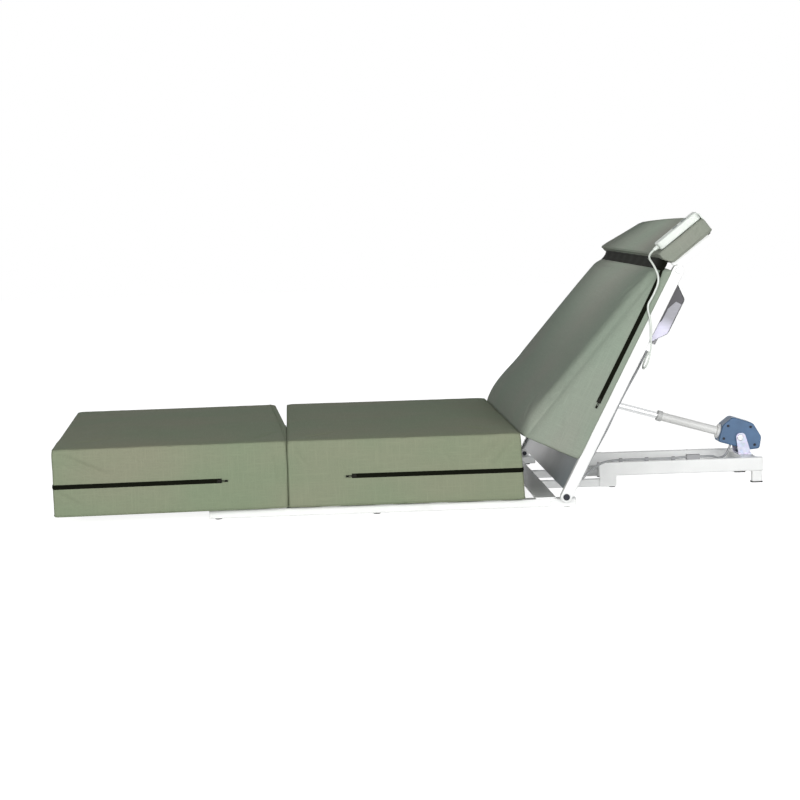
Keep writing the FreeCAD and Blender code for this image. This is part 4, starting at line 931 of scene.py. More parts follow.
HANDSET_CENTRE = -0.418
HANDSET_MIDDLE = 0.0729
BOOT_END = -0.012
CORD_SPLIT = Vector((0.900, -0.457, 0.530))
CORD_HEADING = Vector((-0.42, 0, -0.91))
HANDSET_CORD_WIDE = 0.005
LEAD_WIDE = 0.006
BOX_BOTTOM = 0.422
PLUG_END = BOX_BOTTOM - 0.016
PLUG_DEPTH = -0.033
HANDSET_PLUG_Y = -0.394
MOTOR_PLUG_Y = -0.366
BEAM_Y = -0.099
BEAM_TOP = 0.0655
LEAD_Z = BEAM_TOP + 0.0042
CONNECTOR_Z = BEAM_TOP + 0.0065
CONNECTOR_X = 1.056
CONNECTOR_HALF = 0.017
HOUSING_BELOW = -0.026


def handset_cord_upper_route():
    exit_at = (BOOT_END, HANDSET_CENTRE, HANDSET_MIDDLE)
    below = (BOOT_END - 0.022, HANDSET_CENTRE, HANDSET_MIDDLE)
    return [
        HEAD_FRAME @ Vector(exit_at), HEAD_FRAME @ Vector(below),
        Vector((0.898, -0.448, 0.585)), CORD_SPLIT - CORD_HEADING * 0.023, CORD_SPLIT,
    ]


def handset_cord_lower_route():
    on_back = [
        (0.500, -0.456, 0.033), (0.472, -0.4530, 0.007), (0.440, -0.450, -0.010),
        (0.408, -0.450, -0.026), (0.374, -0.450, -0.033), (0.358, -0.422, -0.034),
        (0.374, HANDSET_PLUG_Y, PLUG_DEPTH), (PLUG_END, HANDSET_PLUG_Y, PLUG_DEPTH),
    ]
    hanging = [CORD_SPLIT, CORD_SPLIT + CORD_HEADING * 0.022]
    return hanging + [BACK_FRAME @ Vector(point) for point in on_back]


def motor_lead_route():
    start = [
        ACTUATOR_FRAME @ Vector((0.016, 0.014, HOUSING_BELOW - ahead)) for ahead in (0, 0.017)
    ]
    middle = [
        (1.154, -0.022, 0.0585), (1.132, -0.041, 0.058), (1.118, -0.074, 0.067),
        (1.1025, -0.0905, 0.071),
    ]
    face = CONNECTOR_X + CONNECTOR_HALF
    end = [(face + ahead, BEAM_Y, CONNECTOR_Z) for ahead in (0.016, 0)]
    return start + [Vector(point) for point in middle + end]


def control_lead_route():
    start = CONNECTOR_X - CONNECTOR_HALF
    on_base = [
        (start, BEAM_Y, CONNECTOR_Z), (start - 0.014, BEAM_Y, CONNECTOR_Z),
        (start - 0.028, BEAM_Y, LEAD_Z), (0.972, BEAM_Y - 0.00015, LEAD_Z),
        (0.900, BEAM_Y + 0.00015, LEAD_Z), (0.844, BEAM_Y - 0.0001, LEAD_Z),
        (0.812, BEAM_Y - 0.016, LEAD_Z - 0.004), (0.785, BEAM_Y - 0.052, 0.058),
        (0.762, BEAM_Y - 0.100, 0.050), (0.745, BEAM_Y - 0.156, 0.048),
        (0.732, BEAM_Y - 0.214, 0.053), (0.727, BEAM_Y - 0.264, 0.070),
    ]
    on_back = [
        (0.136, -0.398, -0.022), (0.190, -0.403, -0.024), (0.244, -0.402, -0.022),
        (0.300, -0.398, -0.024), (0.346, -0.386, -0.029), (0.380, -0.370, -0.032),
        (PLUG_END - 0.012, MOTOR_PLUG_Y, PLUG_DEPTH), (PLUG_END, MOTOR_PLUG_Y, PLUG_DEPTH),
    ]
    return [Vector(point) for point in on_base] + [BACK_FRAME @ Vector(point) for point in on_back]


# Settings that a user would change


class CoverSettings(bpy.types.PropertyGroup):
    """The cushions' covers and their zips."""

    cloth_colour: bpy.props.FloatVectorProperty(
        name="Cloth colour", description="Colour of the woven cover where it isn't faded",
        default=linear("#8F9A82"), min=0, max=1, subtype="COLOR",
    )
    faded_colour: bpy.props.FloatVectorProperty(
        name="Faded colour", description="Colour of the cover's faded patches",
        default=linear("#989985"), min=0, max=1, subtype="COLOR",
    )
    zip_colour: bpy.props.FloatVectorProperty(
        name="Zip colour", description="Colour of the zips' tape and teeth",
        default=linear("#0D0F07"), min=0, max=1, subtype="COLOR",
    )
    thread_spacing: bpy.props.FloatProperty(
        name="Thread spacing", description="Distance between the threads as they are drawn",
        default=0.0026, min=0.0005, max=0.01, unit="LENGTH",
    )
    pressure: bpy.props.FloatProperty(
        name="Fill pressure", description="How hard the foam pushes against the covers",
        default=4.0, min=0, max=20,
    )


class FinishSettings(bpy.types.PropertyGroup):
    """The colours of the frame, the motor and the handset."""

    frame_colour: bpy.props.FloatVectorProperty(
        name="Frame colour", description="Colour of the steel frame's powder coat",
        default=linear("#F7F8F7"), min=0, max=1, subtype="COLOR",
    )
    housing_colour: bpy.props.FloatVectorProperty(
        name="Housing colour", description="Colour of the actuator's gear housing",
        default=linear("#47688C"), min=0, max=1, subtype="COLOR",
    )
    box_colour: bpy.props.FloatVectorProperty(
        name="Control box colour", description="Colour of the control box's moulding",
        default=linear("#37363B"), min=0, max=1, subtype="COLOR",
    )
    handset_colour: bpy.props.FloatVectorProperty(
        name="Handset colour", description="Colour of the handset's shells and its cord",
        default=linear("#DDE3DC"), min=0, max=1, subtype="COLOR",
    )


class StageSettings(bpy.types.PropertyGroup):
    """The studio round the bed."""

    lamp_power: bpy.props.FloatProperty(
        name="Lamp power", description="Power of the wide lamp on the camera's side",
        default=255.0, min=0, unit="POWER",
    )
    room_level: bpy.props.FloatProperty(
        name="Room light", description="Strength of the even light from all round",
        default=0.15, min=0, max=2,
    )
    floor_colour: bpy.props.FloatVectorProperty(
        name="Floor colour", description="Colour of the plain floor",
        default=linear("#F4F4F2"), min=0, max=1, subtype="COLOR",
    )


# Operators


class RECLINER_OT_stage(bpy.types.Operator):
    """Sets up the floor, the lamps and the camera"""

    bl_idname = "recliner.stage"
    bl_label = "Set Up Studio"

    def execute(self, context):
        settings = context.scene.recliner_stage
        set_camera(context.scene)
        set_floor(settings)
        set_lamps(settings)
        set_room(context.scene, settings)
        context.scene.view_settings.view_transform = "Standard"
        return {"FINISHED"}


CAMERA_PLACE = (0.0184, -5.2465, 0.7560)
CAMERA_YAW = 3.0743
CAMERA_PITCH = 5.6569
CAMERA_ROLL = -1.5616
CAMERA_LENS = 90.31


def set_camera(scene):
    yaw, pitch, roll = (math.radians(a) for a in (CAMERA_YAW, CAMERA_PITCH, CAMERA_ROLL))
    forward = Vector((
        math.sin(yaw) * math.cos(pitch), math.cos(yaw) * math.cos(pitch), -math.sin(pitch),
    ))
    level = Vector((math.cos(yaw), -math.sin(yaw), 0))
    upright = level.cross(forward)
    right = level * math.cos(roll) + upright * math.sin(roll)
    up = upright * math.cos(roll) - level * math.sin(roll)
    data = bpy.data.cameras.new("camera")
    data.sensor_width = 36
    data.lens = CAMERA_LENS
    camera = bpy.data.objects.new("camera", data)
    turn = Matrix((right, up, -forward)).transposed().to_4x4()
    camera.matrix_world = Matrix.Translation(CAMERA_PLACE) @ turn
    scene.collection.objects.link(camera)
    scene.camera = camera


def directly_seen(tree):
    """1 for rays from the camera, a reflection or through glass, and 0 for the light itself."""
    rays = add(tree, "ShaderNodeLightPath")
    glossy = add(
        tree, MATH, {0: rays.outputs["Is Camera Ray"], 1: rays.outputs["Is Glossy Ray"]},
        operation="MAXIMUM",
    )
    return add(
        tree, MATH, {0: glossy, 1: rays.outputs["Is Transmission Ray"]}, operation="MAXIMUM"
    )


# What the floor adds to the lamps' light on it, so that it shows white
FLOOR_GLOW = 0.885
FLOOR_HALF = 12
FLOOR_DROP = 0.0005


def set_floor(settings):
    """A plain floor that shows pure white to the camera, apart from the bed's soft shadow."""
    bm = bmesh.new()
    bmesh.ops.create_grid(bm, x_segments=1, y_segments=1, size=FLOOR_HALF)
    floor = link("floor", finish_mesh(bm, "floor"))
    floor.location.z = -FLOOR_DROP
    material = bpy.data.materials.new("painted_studio_floor")
    material.use_nodes = True
    tree = material.node_tree
    tree.nodes.clear()
    matt = add(tree, "ShaderNodeBsdfDiffuse", {"Color": rgba(settings.floor_colour)})
    glow = add(tree, MATH, {0: directly_seen(tree), 1: FLOOR_GLOW}, operation="MULTIPLY")
    white = add(tree, "ShaderNodeEmission", {"Color": (1, 1, 1, 1), "Strength": glow})
    both = add(tree, "ShaderNodeAddShader", {0: matt, 1: white})
    add(tree, "ShaderNodeOutputMaterial", {"Surface": both})
    dress(floor, material)


def lamp(name, place, target, size, power, spread=180):
    data = bpy.data.lights.new(name, "AREA")
    data.shape = "RECTANGLE"
    data.size, data.size_y = size
    data.energy = power
    data.spread = math.radians(spread)
    light = bpy.data.objects.new(name, data)
    aim = (Vector(target) - Vector(place)).to_track_quat("-Z", "Y")
    light.matrix_world = Matrix.Translation(place) @ aim.to_matrix().to_4x4()
    light.visible_camera = False
    bpy.context.scene.collection.objects.link(light)


def set_lamps(settings):
    """A wide soft lamp on the camera's side, and weaker ones on the other sides."""
    power = settings.lamp_power
    lamp("front_lamp", (0.30, -4.93, 1.26), (0.6, 0, 0.25), (7.6, 1.5), power)
    lamp("far_lamp", (0.30, 4.60, 0.62), (0.5, 0, 0.25), (6.0, 1.0), power * 0.07)
    lamp("rear_lamp", (3.4, 0.6, 1.0), (0.8, 0, 0.3), (1.6, 1.6), power * 0.01)
    lamp("head_lamp", (0.48, 0.15, 1.25), (0.97, -0.03, 0.68), (0.5, 0.5), power * 0.0018, 50)


def set_room(scene, settings):
    """Even light from all round; the camera and reflections see plain white."""
    world = bpy.data.worlds.new("white_room")
    world.use_nodes = True
    scene.world = world
    tree = world.node_tree
    tree.nodes.clear()
    level = settings.room_level
    even = add(tree, "ShaderNodeBackground", {"Color": (0.95, 0.98, 1, 1), "Strength": level})
    white = add(tree, "ShaderNodeBackground", {"Color": (1, 1, 1, 1), "Strength": 1.0})
    mix = add(tree, "ShaderNodeMixShader", {0: directly_seen(tree), 1: even, 2: white})
    add(tree, "ShaderNodeOutputWorld", {"Surface": mix})


class RECLINER_OT_cords(bpy.types.Operator):
    """Lays the handset's cord and the motor's leads"""

    bl_idname = "recliner.cords"
    bl_label = "Lay Cords"

    def execute(self, context):
        settings = context.scene.recliner_finish
        white = extruded_vinyl("extruded_vinyl_white", settings.handset_colour)
        grey = extruded_vinyl("extruded_vinyl_grey", linear("#A9ABAD"))
        route = handset_cord_upper_route()
        cord("cord_handset_upper", "handset_cord_upper", route, HANDSET_CORD_WIDE, white)
        route = handset_cord_lower_route()
        cord("cord_handset_lower", "handset_cord_lower", route, HANDSET_CORD_WIDE, white)
        route = motor_lead_route()
        cord("lead_motor", "motor_lead", route, LEAD_WIDE, grey)
        route = control_lead_route()
        cord("lead_control", "control_lead", route, LEAD_WIDE, grey)
        return {"FINISHED"}


class RECLINER_OT_base(bpy.types.Operator):
    """Finishes the base frame, its hinges and its feet"""

    bl_idname = "recliner.base"
    bl_label = "Finish Base Frame"

    def execute(self, context):
        settings = context.scene.recliner_finish
        coat = powder_coat("powder_coated_steel_base", settings.frame_colour)
        dress_nodes(
            coat, "base_side_tubes", "base_cross_tubes", "base_slats", "drop_tubes",
            "rear_beams", "rear_bar", "rear_feet", "hinge_ears",
        )
        dress_nodes(zinc_plate("zinc_plated_steel_bracket", linear("#B4B5C6")), "rear_bracket")
        dress_nodes(turned_steel("blackened_steel_bolt", linear("#34353A"), 0.42), "hinge_bolts")
        dress_nodes(turned_steel("ground_steel_pin", linear("#C4C6C8"), 0.24), "rear_pin")
        dress_nodes(
            moulded_plastic("natural_nylon_washer", linear("#E6E4DC"), 0.8 * MM, 0.03 * MM, 0.4),
            "hinge_washers",
        )
        dress_nodes(
            moulded_plastic("moulded_polythene_cap", linear("#E4E5E3"), 0.9 * MM, 0.04 * MM, 0.45),
            "tube_end_caps",
        )
        dress_nodes(
            moulded_rubber("moulded_rubber_foot", linear("#2B2B2B")),
            "base_glides", "rear_foot_pads",
        )
        dress_nodes(
            moulded_plastic("moulded_nylon_clip", linear("#A0A0A3"), 0.8 * MM, 0.04 * MM, 0.4),
            "cable_connector", "cable_clips",
        )
        return {"FINISHED"}


APRON_LOW = 0.012
APRON_HIGH = 0.100
APRON_HALF_WIDTH = 0.4205
APRON_REAR = 0.0065
APRON_THICK = 0.0020
PLATE_BEVEL = 0.3 * MM


class RECLINER_OT_back_frame(bpy.types.Operator):
    """Finishes the back frame, the head rest's frame and their boards"""

    bl_idname = "recliner.back_frame"
    bl_label = "Finish Back Frame"

    def execute(self, context):
        settings = context.scene.recliner_finish
        coat = powder_coat("powder_coated_steel_back", settings.frame_colour)
        dress_nodes(
            coat, "back_side_rails", "back_crossbars", "front_ears", "head_arms", "head_crossbar",
            "control_cradle", "head_pivot_bolts",
        )
        dress_nodes(
            turned_steel("blackened_steel_screw", linear("#34353A"), 0.42),
            "front_ear_bolts", "cradle_screws",
        )
        dress_nodes(
            moulded_plastic("natural_nylon_pivot", linear("#E6E4DC"), 0.8 * MM, 0.03 * MM, 0.4),
            "head_pivot_washers",
        )
        # The apron is a sheet that closes the see-through gap under the back cushion and stands
        # partly for the shade there; its grey-blue, darker than the frame's white coat, is painted
        # shade from the cushion above it.
        front = APRON_REAR + APRON_THICK
        outline = [
            (APRON_LOW, APRON_REAR), (APRON_HIGH, APRON_REAR), (APRON_HIGH, front),
            (APRON_LOW, front),
        ]
        apron = flat_plate(
            "back_apron", outline, BACK_FRAME, -APRON_HALF_WIDTH, APRON_HALF_WIDTH, PLATE_BEVEL
        )
        dress(apron, powder_coat("powder_coated_sheet_apron_painted_shade", linear("#AEB7BE")))
        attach(apron, "back")
        # The near-black boards also stand for the dark shade in the gap between the head and back
        # cushions.
        dress_nodes(
            plywood("dark_plywood_painted_shade", linear("#3A3833")), "back_panel", "head_board"
        )
        return {"FINISHED"}


MATTRESS_CROWN = 0.010
LEG_TURNED_BACK = 0.0165
LEG_TOUCH = 0.36
LEG_SPREAD = 0.0324
LEG_NIP = 0.001
LEG_PRESS = 0.002
LEG_PRESS_FROM = 0.01
LEG_PRESS_REACH = 0.15
SEAT_TOE = 0.009
TOE_REACH = 0.12


def mattress_face(x):
    """The height of the leg and seat cushions' upper face."""
    return MATTRESS_TOP + 0 * x


def leg_shape(points):
    """Crowns the leg cushion and presses the near part of its end against the seat cushion."""
    points = crowned(points, -LEG_LENGTH, 0, MATTRESS_BOTTOM, mattress_face, MATTRESS_CROWN)
    across = points[:, 1] + HALF_WIDTH
    places = (0, LEG_TOUCH, 2 * HALF_WIDTH)
    pressed = np.interp(across, places, (LEG_NIP, LEG_SPREAD * LEG_TOUCH, 0))
    pressed += LEG_PRESS * (across > LEG_PRESS_FROM) * (across < LEG_TOUCH)
    near_end = np.clip(1 + points[:, 0] / LEG_PRESS_REACH, 0, 1) ** 2
    points[:, 0] += LEG_TURNED_BACK * across / (2 * HALF_WIDTH) + pressed * near_end
    return points


def seat_shape(points):
    """Crowns the seat cushion and lets the foot of its rear end stand out a little."""
    points = crowned(points, 0, SEAT_LENGTH, MATTRESS_BOTTOM, mattress_face, MATTRESS_CROWN)
    low = np.clip((MATTRESS_TOP - points[:, 2]) / (MATTRESS_TOP - MATTRESS_BOTTOM), 0, 1)
    rear = np.clip(1 - (SEAT_LENGTH - points[:, 0]) / TOE_REACH, 0, 1) ** 2
    points[:, 0] += SEAT_TOE * low * rear
    return points


class RECLINER_OT_mattress(bpy.types.Operator):
    """Makes the leg and seat cushions with their seams"""

    bl_idname = "recliner.mattress"
    bl_label = "Make Leg and Seat Cushions"

    def execute(self, context):
        cover = context.scene.recliner_cover
        # The leg and seat cloth is a darker copy: painted shade that tones down the lamp's light on
        # their sides.
        cloth = woven_cover("woven_polyester_cover", cover, (0, 0, 0), (0.87, 0.89, 0.85))
        top = MATTRESS_TOP + FOLD_ROOM
        leg = cushion(
            "leg_cushion_cover", "leg_cushion", "mattress", LEG_FRAME, cover,
            CUSHION_VOXEL, SQUARE_ENDS, CUSHION_SWELL,
            ((-SEAM_GAP - LEG_LENGTH, -COVER_SIDE, MATTRESS_BOTTOM), (-SEAM_GAP, COVER_SIDE, top)),
            LEG_CREASES, leg_shape,
        )
        seat = cushion(
            "seat_cushion_cover", "seat_cushion", "mattress", LEVEL, cover,
            CUSHION_VOXEL, SQUARE_ENDS, CUSHION_SWELL,
            ((0, -COVER_SIDE, MATTRESS_BOTTOM), (SEAT_LENGTH, COVER_SIDE, top)),
            SEAT_CREASES, seat_shape,
        )
        dress(leg, cloth)
        dress(seat, cloth)
        ends = (
            ("leg", leg, LEG_FRAME, -SEAM_GAP - LEG_LENGTH, -SEAM_GAP),
            ("seat", seat, LEVEL, 0.0, SEAT_LENGTH),
        )
        for name, carrier, place, start, end in ends:
            edge_seams(
                name, carrier, "mattress", place, start, end, CUSHION_CORNER,
                MATTRESS_BOTTOM, MATTRESS_TOP, cloth,
            )
        return {"FINISHED"}


EDGE_INSET = 0.006
LOWER_SEAM_UP = 0.004


def edge_seams(name, carrier, body, place, start, end, corner, low, high, material, lean=0.0):
    """Seams round a cushion, just over its lower edge and along its upper edge.

    lean shortens the cushion at its lower face.
    """
    levels = (("lower", low + LOWER_SEAM_UP, 0, start + lean), ("upper", high, 1, start))
    for level, height, lift, first in levels:
        route = full_route(first, end, HALF_WIDTH, corner, ROUTE_STEP)
        inset = Vector((0, 0, lift * EDGE_INSET))
        points = [
            Vector((at.x, at.y, height)) - out * EDGE_INSET - inset for at, out in route
        ]
        outs = [(out + Vector((0, 0, lift))).normalized() for _, out in route]
        sewn_seam(f"{name}_{level}_seam", carrier, body, place, points, outs, material)


# Folds in the covers: (start, end, half width, depth), each in its cushion's own frame
LEG_CREASES = [
    ((-0.548, -0.452, 0.178), (-0.425, -0.452, 0.122), 0.0080, 0.0062),
    ((-0.552, -0.452, 0.160), (-0.455, -0.452, 0.118), 0.0070, 0.0045),
    ((-0.552, -0.452, 0.086), (-0.490, -0.452, 0.052), 0.0075, 0.0045),
    ((-0.40, -0.452, 0.176), (-0.24, -0.452, 0.168), 0.0120, 0.0018),
    ((-0.030, -0.452, 0.175), (-0.010, -0.452, 0.070), 0.0090, 0.0030),
    ((-0.560, -0.300, 0.170), (-0.560, -0.180, 0.115), 0.0100, 0.0035),
    ((-0.560, 0.330, 0.165), (-0.560, 0.210, 0.110), 0.0100, 0.0035),
    ((-0.520, -0.36, 0.193), (-0.420, -0.30, 0.193), 0.0110, 0.0025),
    ((-0.070, -0.40, 0.193), (-0.030, -0.28, 0.193), 0.0110, 0.0030),
    ((-0.500, 0.452, 0.170), (-0.400, 0.452, 0.120), 0.0090, 0.0035),
]
SEAT_CREASES = [
    ((0.012, -0.452, 0.172), (0.050, -0.452, 0.120), 0.0090, 0.0035),
    ((0.130, -0.452, 0.128), (0.150, -0.452, 0.080), 0.0080, 0.0020),
    ((0.555, -0.452, 0.180), (0.500, -0.452, 0.118), 0.0090, 0.0038),
    ((0.535, -0.452, 0.182), (0.455, -0.452, 0.120), 0.0085, 0.0028),
    ((0.355, -0.452, 0.176), (0.395, -0.452, 0.118), 0.0120, 0.0026),
    ((0.040, -0.40, 0.193), (0.120, -0.34, 0.193), 0.0120, 0.0030),
    ((0.500, -0.39, 0.193), (0.430, -0.30, 0.193), 0.0120, 0.0030),
    ((0.568, -0.280, 0.170), (0.568, -0.180, 0.115), 0.0100, 0.0035),
    ((0.520, 0.452, 0.176), (0.440, 0.452, 0.120), 0.0090, 0.0035),
]
BACK_CREASES = [
    ((0.110, -0.452, 0.060), (0.200, -0.452, 0.100), 0.0090, 0.0030),
    ((0.105, -0.452, 0.030), (0.180, -0.452, 0.044), 0.0080, 0.0026),
    ((0.560, -0.452, 0.045), (0.480, -0.452, 0.060), 0.0080, 0.0022),
    ((0.560, -0.41, 0.058), (0.480, -0.36, 0.078), 0.0110, 0.0026),
    ((0.120, -0.40, 0.160), (0.190, -0.33, 0.145), 0.0120, 0.0032),
]
HEAD_CREASES = [
    ((-0.010, -0.452, 0.054), (0.030, -0.452, 0.030), 0.0070, 0.0022),
    ((0.110, -0.452, 0.054), (0.080, -0.452, 0.030), 0.0070, 0.0020),
    ((0.000, 0.34, 0.063), (0.050, 0.28, 0.063), 0.0090, 0.0024),
]


END_SPARE = 0.005
BACK_CROWN = 0.016
BACK_THICK = 0.154
BACK_FACE_END = 0.041
BACK_EDGE = 0.055
BACK_TOE = 0.008
HEAD_CROWN = 0.004
HANDSET_STRIP = -0.37
HEAD_FAR_SINK = 0.022


def back_face(x):
    """The height of the back cushion's front face over its rails' middle."""
    share = np.clip((x - BACK_START) / (BACK_END - BACK_START), 0, 1)
    return RAIL_HALF + BACK_THICK + (BACK_FACE_END - BACK_THICK) * share


def back_shape(points):
    """Crowns the back cushion, rounds its long edges and lets its front foot reach lower."""
    points = crowned(points, BACK_START, BACK_END, RAIL_HALF, back_face, BACK_CROWN)
    points = edges_eased(points, back_face, BACK_EDGE)
    front = np.clip((points[:, 2] - RAIL_HALF) / BACK_THICK, 0, 1)
    foot = np.clip(1 - (points[:, 0] - BACK_START) / TOE_REACH, 0, 1) ** 2
    points[:, 0] -= BACK_TOE * front * foot
    return points


def head_face(x):
    """The height of the head cushion's front face."""
    return HEAD_REAR + HEAD_THICK + 0 * x


def head_shape(points):
    """Crowns the head cushion away from the handset, and lets its far upper corner sink."""
    clear = points[:, 1] > HANDSET_STRIP
    raised = crowned(points, HEAD_LOW, HEAD_TOP, HEAD_REAR, head_face, HEAD_CROWN)
    points = np.where(clear[:, None], raised, points)
    across = np.clip((points[:, 1] + HALF_WIDTH) / (2 * HALF_WIDTH), 0, 1)
    up = np.clip((points[:, 0] - HEAD_LOW) / (HEAD_TOP - HEAD_LOW), 0, 1)
    height = np.clip((points[:, 2] - HEAD_REAR) / HEAD_THICK, 0, 1)
    points[:, 2] -= HEAD_FAR_SINK * across ** 2 * up * height
    return points


class RECLINER_OT_back_cushions(bpy.types.Operator):
    """Makes the back and head cushions with their seams"""

    bl_idname = "recliner.back_cushions"
    bl_label = "Make Back and Head Cushions"

    def execute(self, context):
        cover = context.scene.recliner_cover
        back = cushion(
            "back_cushion_cover", "back_cushion", "back", BACK_FRAME, cover,
            CUSHION_VOXEL, LEANING_ENDS, CUSHION_SWELL,
            ((BACK_START, -COVER_SIDE, RAIL_HALF),
             (BACK_END + BACK_LEAN - END_SPARE, COVER_SIDE, RAIL_HALF + BACK_THICK)),
            BACK_CREASES, back_shape,
        )
        # The back cushion's cloth is a lighter, bluer copy of the same cloth: painted light with a
        # bluer cast.
        dress(back, woven_cover(
            "woven_polyester_back", cover, (0, math.radians(RAIL_ANGLE), 0), (1.02, 1.03, 1.2)
        ))
        head = cushion(
            "head_cushion_cover", "head_cushion", "head", HEAD_FRAME, cover,
            HEAD_VOXEL, LEANING_ENDS, HEAD_SWELL,
            ((HEAD_LOW + END_SPARE, -COVER_SIDE, HEAD_REAR),
             (HEAD_TOP, COVER_SIDE, HEAD_REAR + HEAD_THICK - HANDSET_ROOM)),
            HEAD_CREASES, head_shape,
        )
        # The head cushion's cloth is a darker, bluer copy of the same cloth: painted shade with a
        # bluer cast.
        cloth = woven_cover(
            "woven_polyester_head", cover, (0, math.radians(HEAD_ANGLE), 0), (0.92, 0.93, 1.08)
        )
        dress(head, cloth)
        edge_seams(
            "head", head, "head", HEAD_FRAME, HEAD_LOW, HEAD_TOP, HEAD_CORNER,
            HEAD_REAR, HEAD_REAR + HEAD_THICK, cloth, HEAD_LEAN,
        )
        return {"FINISHED"}


FLAP_HALF_WIDTH = 0.447
FLAP_THICK = 0.0016
FLAP_RISE = 0.049
FLAP_LOW = 0.592
FLAP_HIGH = 0.6245
FLAP_SLACK = 0.003
FLAP_FLAT = 0.40
FLAP_TUCK = 0.014


def hinge_flap(material):
    """A band of black webbing sewn between the back cushion's and the head cushion's covers, which
    also paints the dark shade in the gap between them.
    """
    bm = bmesh.new()
    steps, columns = 8, 60
    layers = []
    for side in (1, 0):
        rows = []
        for n in range(steps + 1):
            share = n / steps
            sag = FLAP_SLACK * math.sin(math.pi * share)
            u = FLAP_LOW + (FLAP_HIGH - FLAP_LOW) * share
            row = []
            for m in range(columns + 1):
                y = -FLAP_HALF_WIDTH + 2 * FLAP_HALF_WIDTH * m / columns
                tuck = max(0.0, (abs(y) - FLAP_FLAT) / (FLAP_HALF_WIDTH - FLAP_FLAT)) ** 2
                rise = FLAP_RISE - FLAP_TUCK * tuck - sag * (1 + 0.25 * math.sin(m * 0.9))
                row.append(bm.verts.new((u, y, rise + side * FLAP_THICK)))
            rows.append(row)
        layers.append(rows)
    for rows in layers:
        for n in range(steps):
            for m in range(columns):
                bm.faces.new((rows[n][m], rows[n + 1][m], rows[n + 1][m + 1], rows[n][m + 1]))
    upper, lower = layers
    rim = [(n, 0) for n in range(steps)] + [(steps, m) for m in range(columns)]
    rim += [(n, columns) for n in range(steps, 0, -1)] + [(0, m) for m in range(columns, 0, -1)]
    for one, other in zip(rim, rim[1:] + rim[:1]):
        corners = [upper[one[0]][one[1]], upper[other[0]][other[1]]]
        corners += [lower[other[0]][other[1]], lower[one[0]][one[1]]]
        bm.faces.new(corners)
    mesh = finish_mesh(bm, "head_hinge_flap")
    mesh.transform(BACK_FRAME)
    piece = link("head_hinge_flap", mesh)
    dress(piece, material)
    smooth(piece.data)
    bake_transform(piece)
    return piece


class RECLINER_OT_zips(bpy.types.Operator):
    """Makes the three zips and their pulls"""

    bl_idname = "recliner.zips"
    bl_label = "Make Zips"

    def execute(self, context):
        cover = context.scene.recliner_cover
        tape = zip_cloth("woven_zip_tape", cover.zip_colour, 1.2 * MM)
        coil = zip_cloth("nylon_zip_coil", shade(cover.zip_colour, 1.4), 0.8 * MM)
        stop = turned_steel("dark_plated_stop", linear("#1E1E1B"), 0.4)
        materials = (tape, coil, stop)
        covers = bpy.data.objects
        foot = -SEAM_GAP - LEG_LENGTH
        route = rounded_route(foot, LEG_ZIP_END, HALF_WIDTH, CUSHION_CORNER, ROUTE_STEP)
        zip_fastener(
            "leg_zip_fastener", "leg_zip", "mattress", covers["leg_cushion_cover"], LEG_FRAME,
            route, MATTRESS_ZIP_Z, materials,
        )
        route = rounded_route(SEAT_LENGTH, SEAT_ZIP_START, HALF_WIDTH, CUSHION_CORNER, ROUTE_STEP)
        zip_fastener(
            "seat_zip_fastener", "seat_zip", "mattress", covers["seat_cushion_cover"], LEVEL,
            route, MATTRESS_ZIP_Z, materials,
        )
        route = rounded_route(BACK_END, BACK_ZIP_START, HALF_WIDTH, CUSHION_CORNER, ROUTE_STEP)
        zip_fastener(
            "back_zip_fastener", "back_zip", "back", covers["back_cushion_cover"], BACK_FRAME,
            route, BACK_ZIP_Z, materials,
        )
        # The flap's colour, darker than the zips', is painted shade in the gap between the back and
        # head cushions.
        hinge_flap(zip_cloth("black_webbing_painted_shade", shade(cover.zip_colour, 0.8), 1.6 * MM))
        metal = turned_steel("dark_plated_zinc_pull", linear("#1E1E1B"), 0.36)
        zip_pull("leg_pull_slider", "leg_zip_pull", "leg_pull", LEG_FRAME,
                 LEG_ZIP_END - PULL_LENGTH, MATTRESS_ZIP_Z, 1, metal)
        zip_pull("seat_pull_slider", "seat_zip_pull", "seat_pull", LEVEL,
                 SEAT_ZIP_START + PULL_LENGTH, MATTRESS_ZIP_Z, -1, metal)
        zip_pull("back_pull_slider", "back_zip_pull", "back_pull", BACK_FRAME,
                 BACK_ZIP_START + PULL_LENGTH, BACK_ZIP_Z, -1, metal)
        return {"FINISHED"}


BOX_FACE = 0.422
BOX_COVER = [
    (0.4250, -0.0185), (0.4780, -0.0185), (0.4860, -0.0225), (0.5180, -0.0225),
    (0.5420, -0.0330), (0.5420, -0.0482), (0.4636, -0.0482),
]
BOX_COVER_THICK = 0.0012
BOX_COVER_SUNK = 0.0002


def flat_plate(name, outline, place, y0, y1, bevel):
    """A plate between y0 and y1 whose outline lies in its frame's XZ plane."""
    bm = bmesh.new()
    near = [bm.verts.new((x, y0, z)) for x, z in outline]
    far = [bm.verts.new((x, y1, z)) for x, z in outline]
    bm.faces.new(near)
    bm.faces.new(list(reversed(far)))
    for n in range(len(outline)):
        m = (n + 1) % len(outline)
        bm.faces.new((near[m], near[n], far[n], far[m]))
    bmesh.ops.bevel(bm, geom=list(bm.edges), offset=bevel, segments=2, affect="EDGES")
    mesh = finish_mesh(bm, name)
    mesh.transform(place)
    return link(name, mesh)


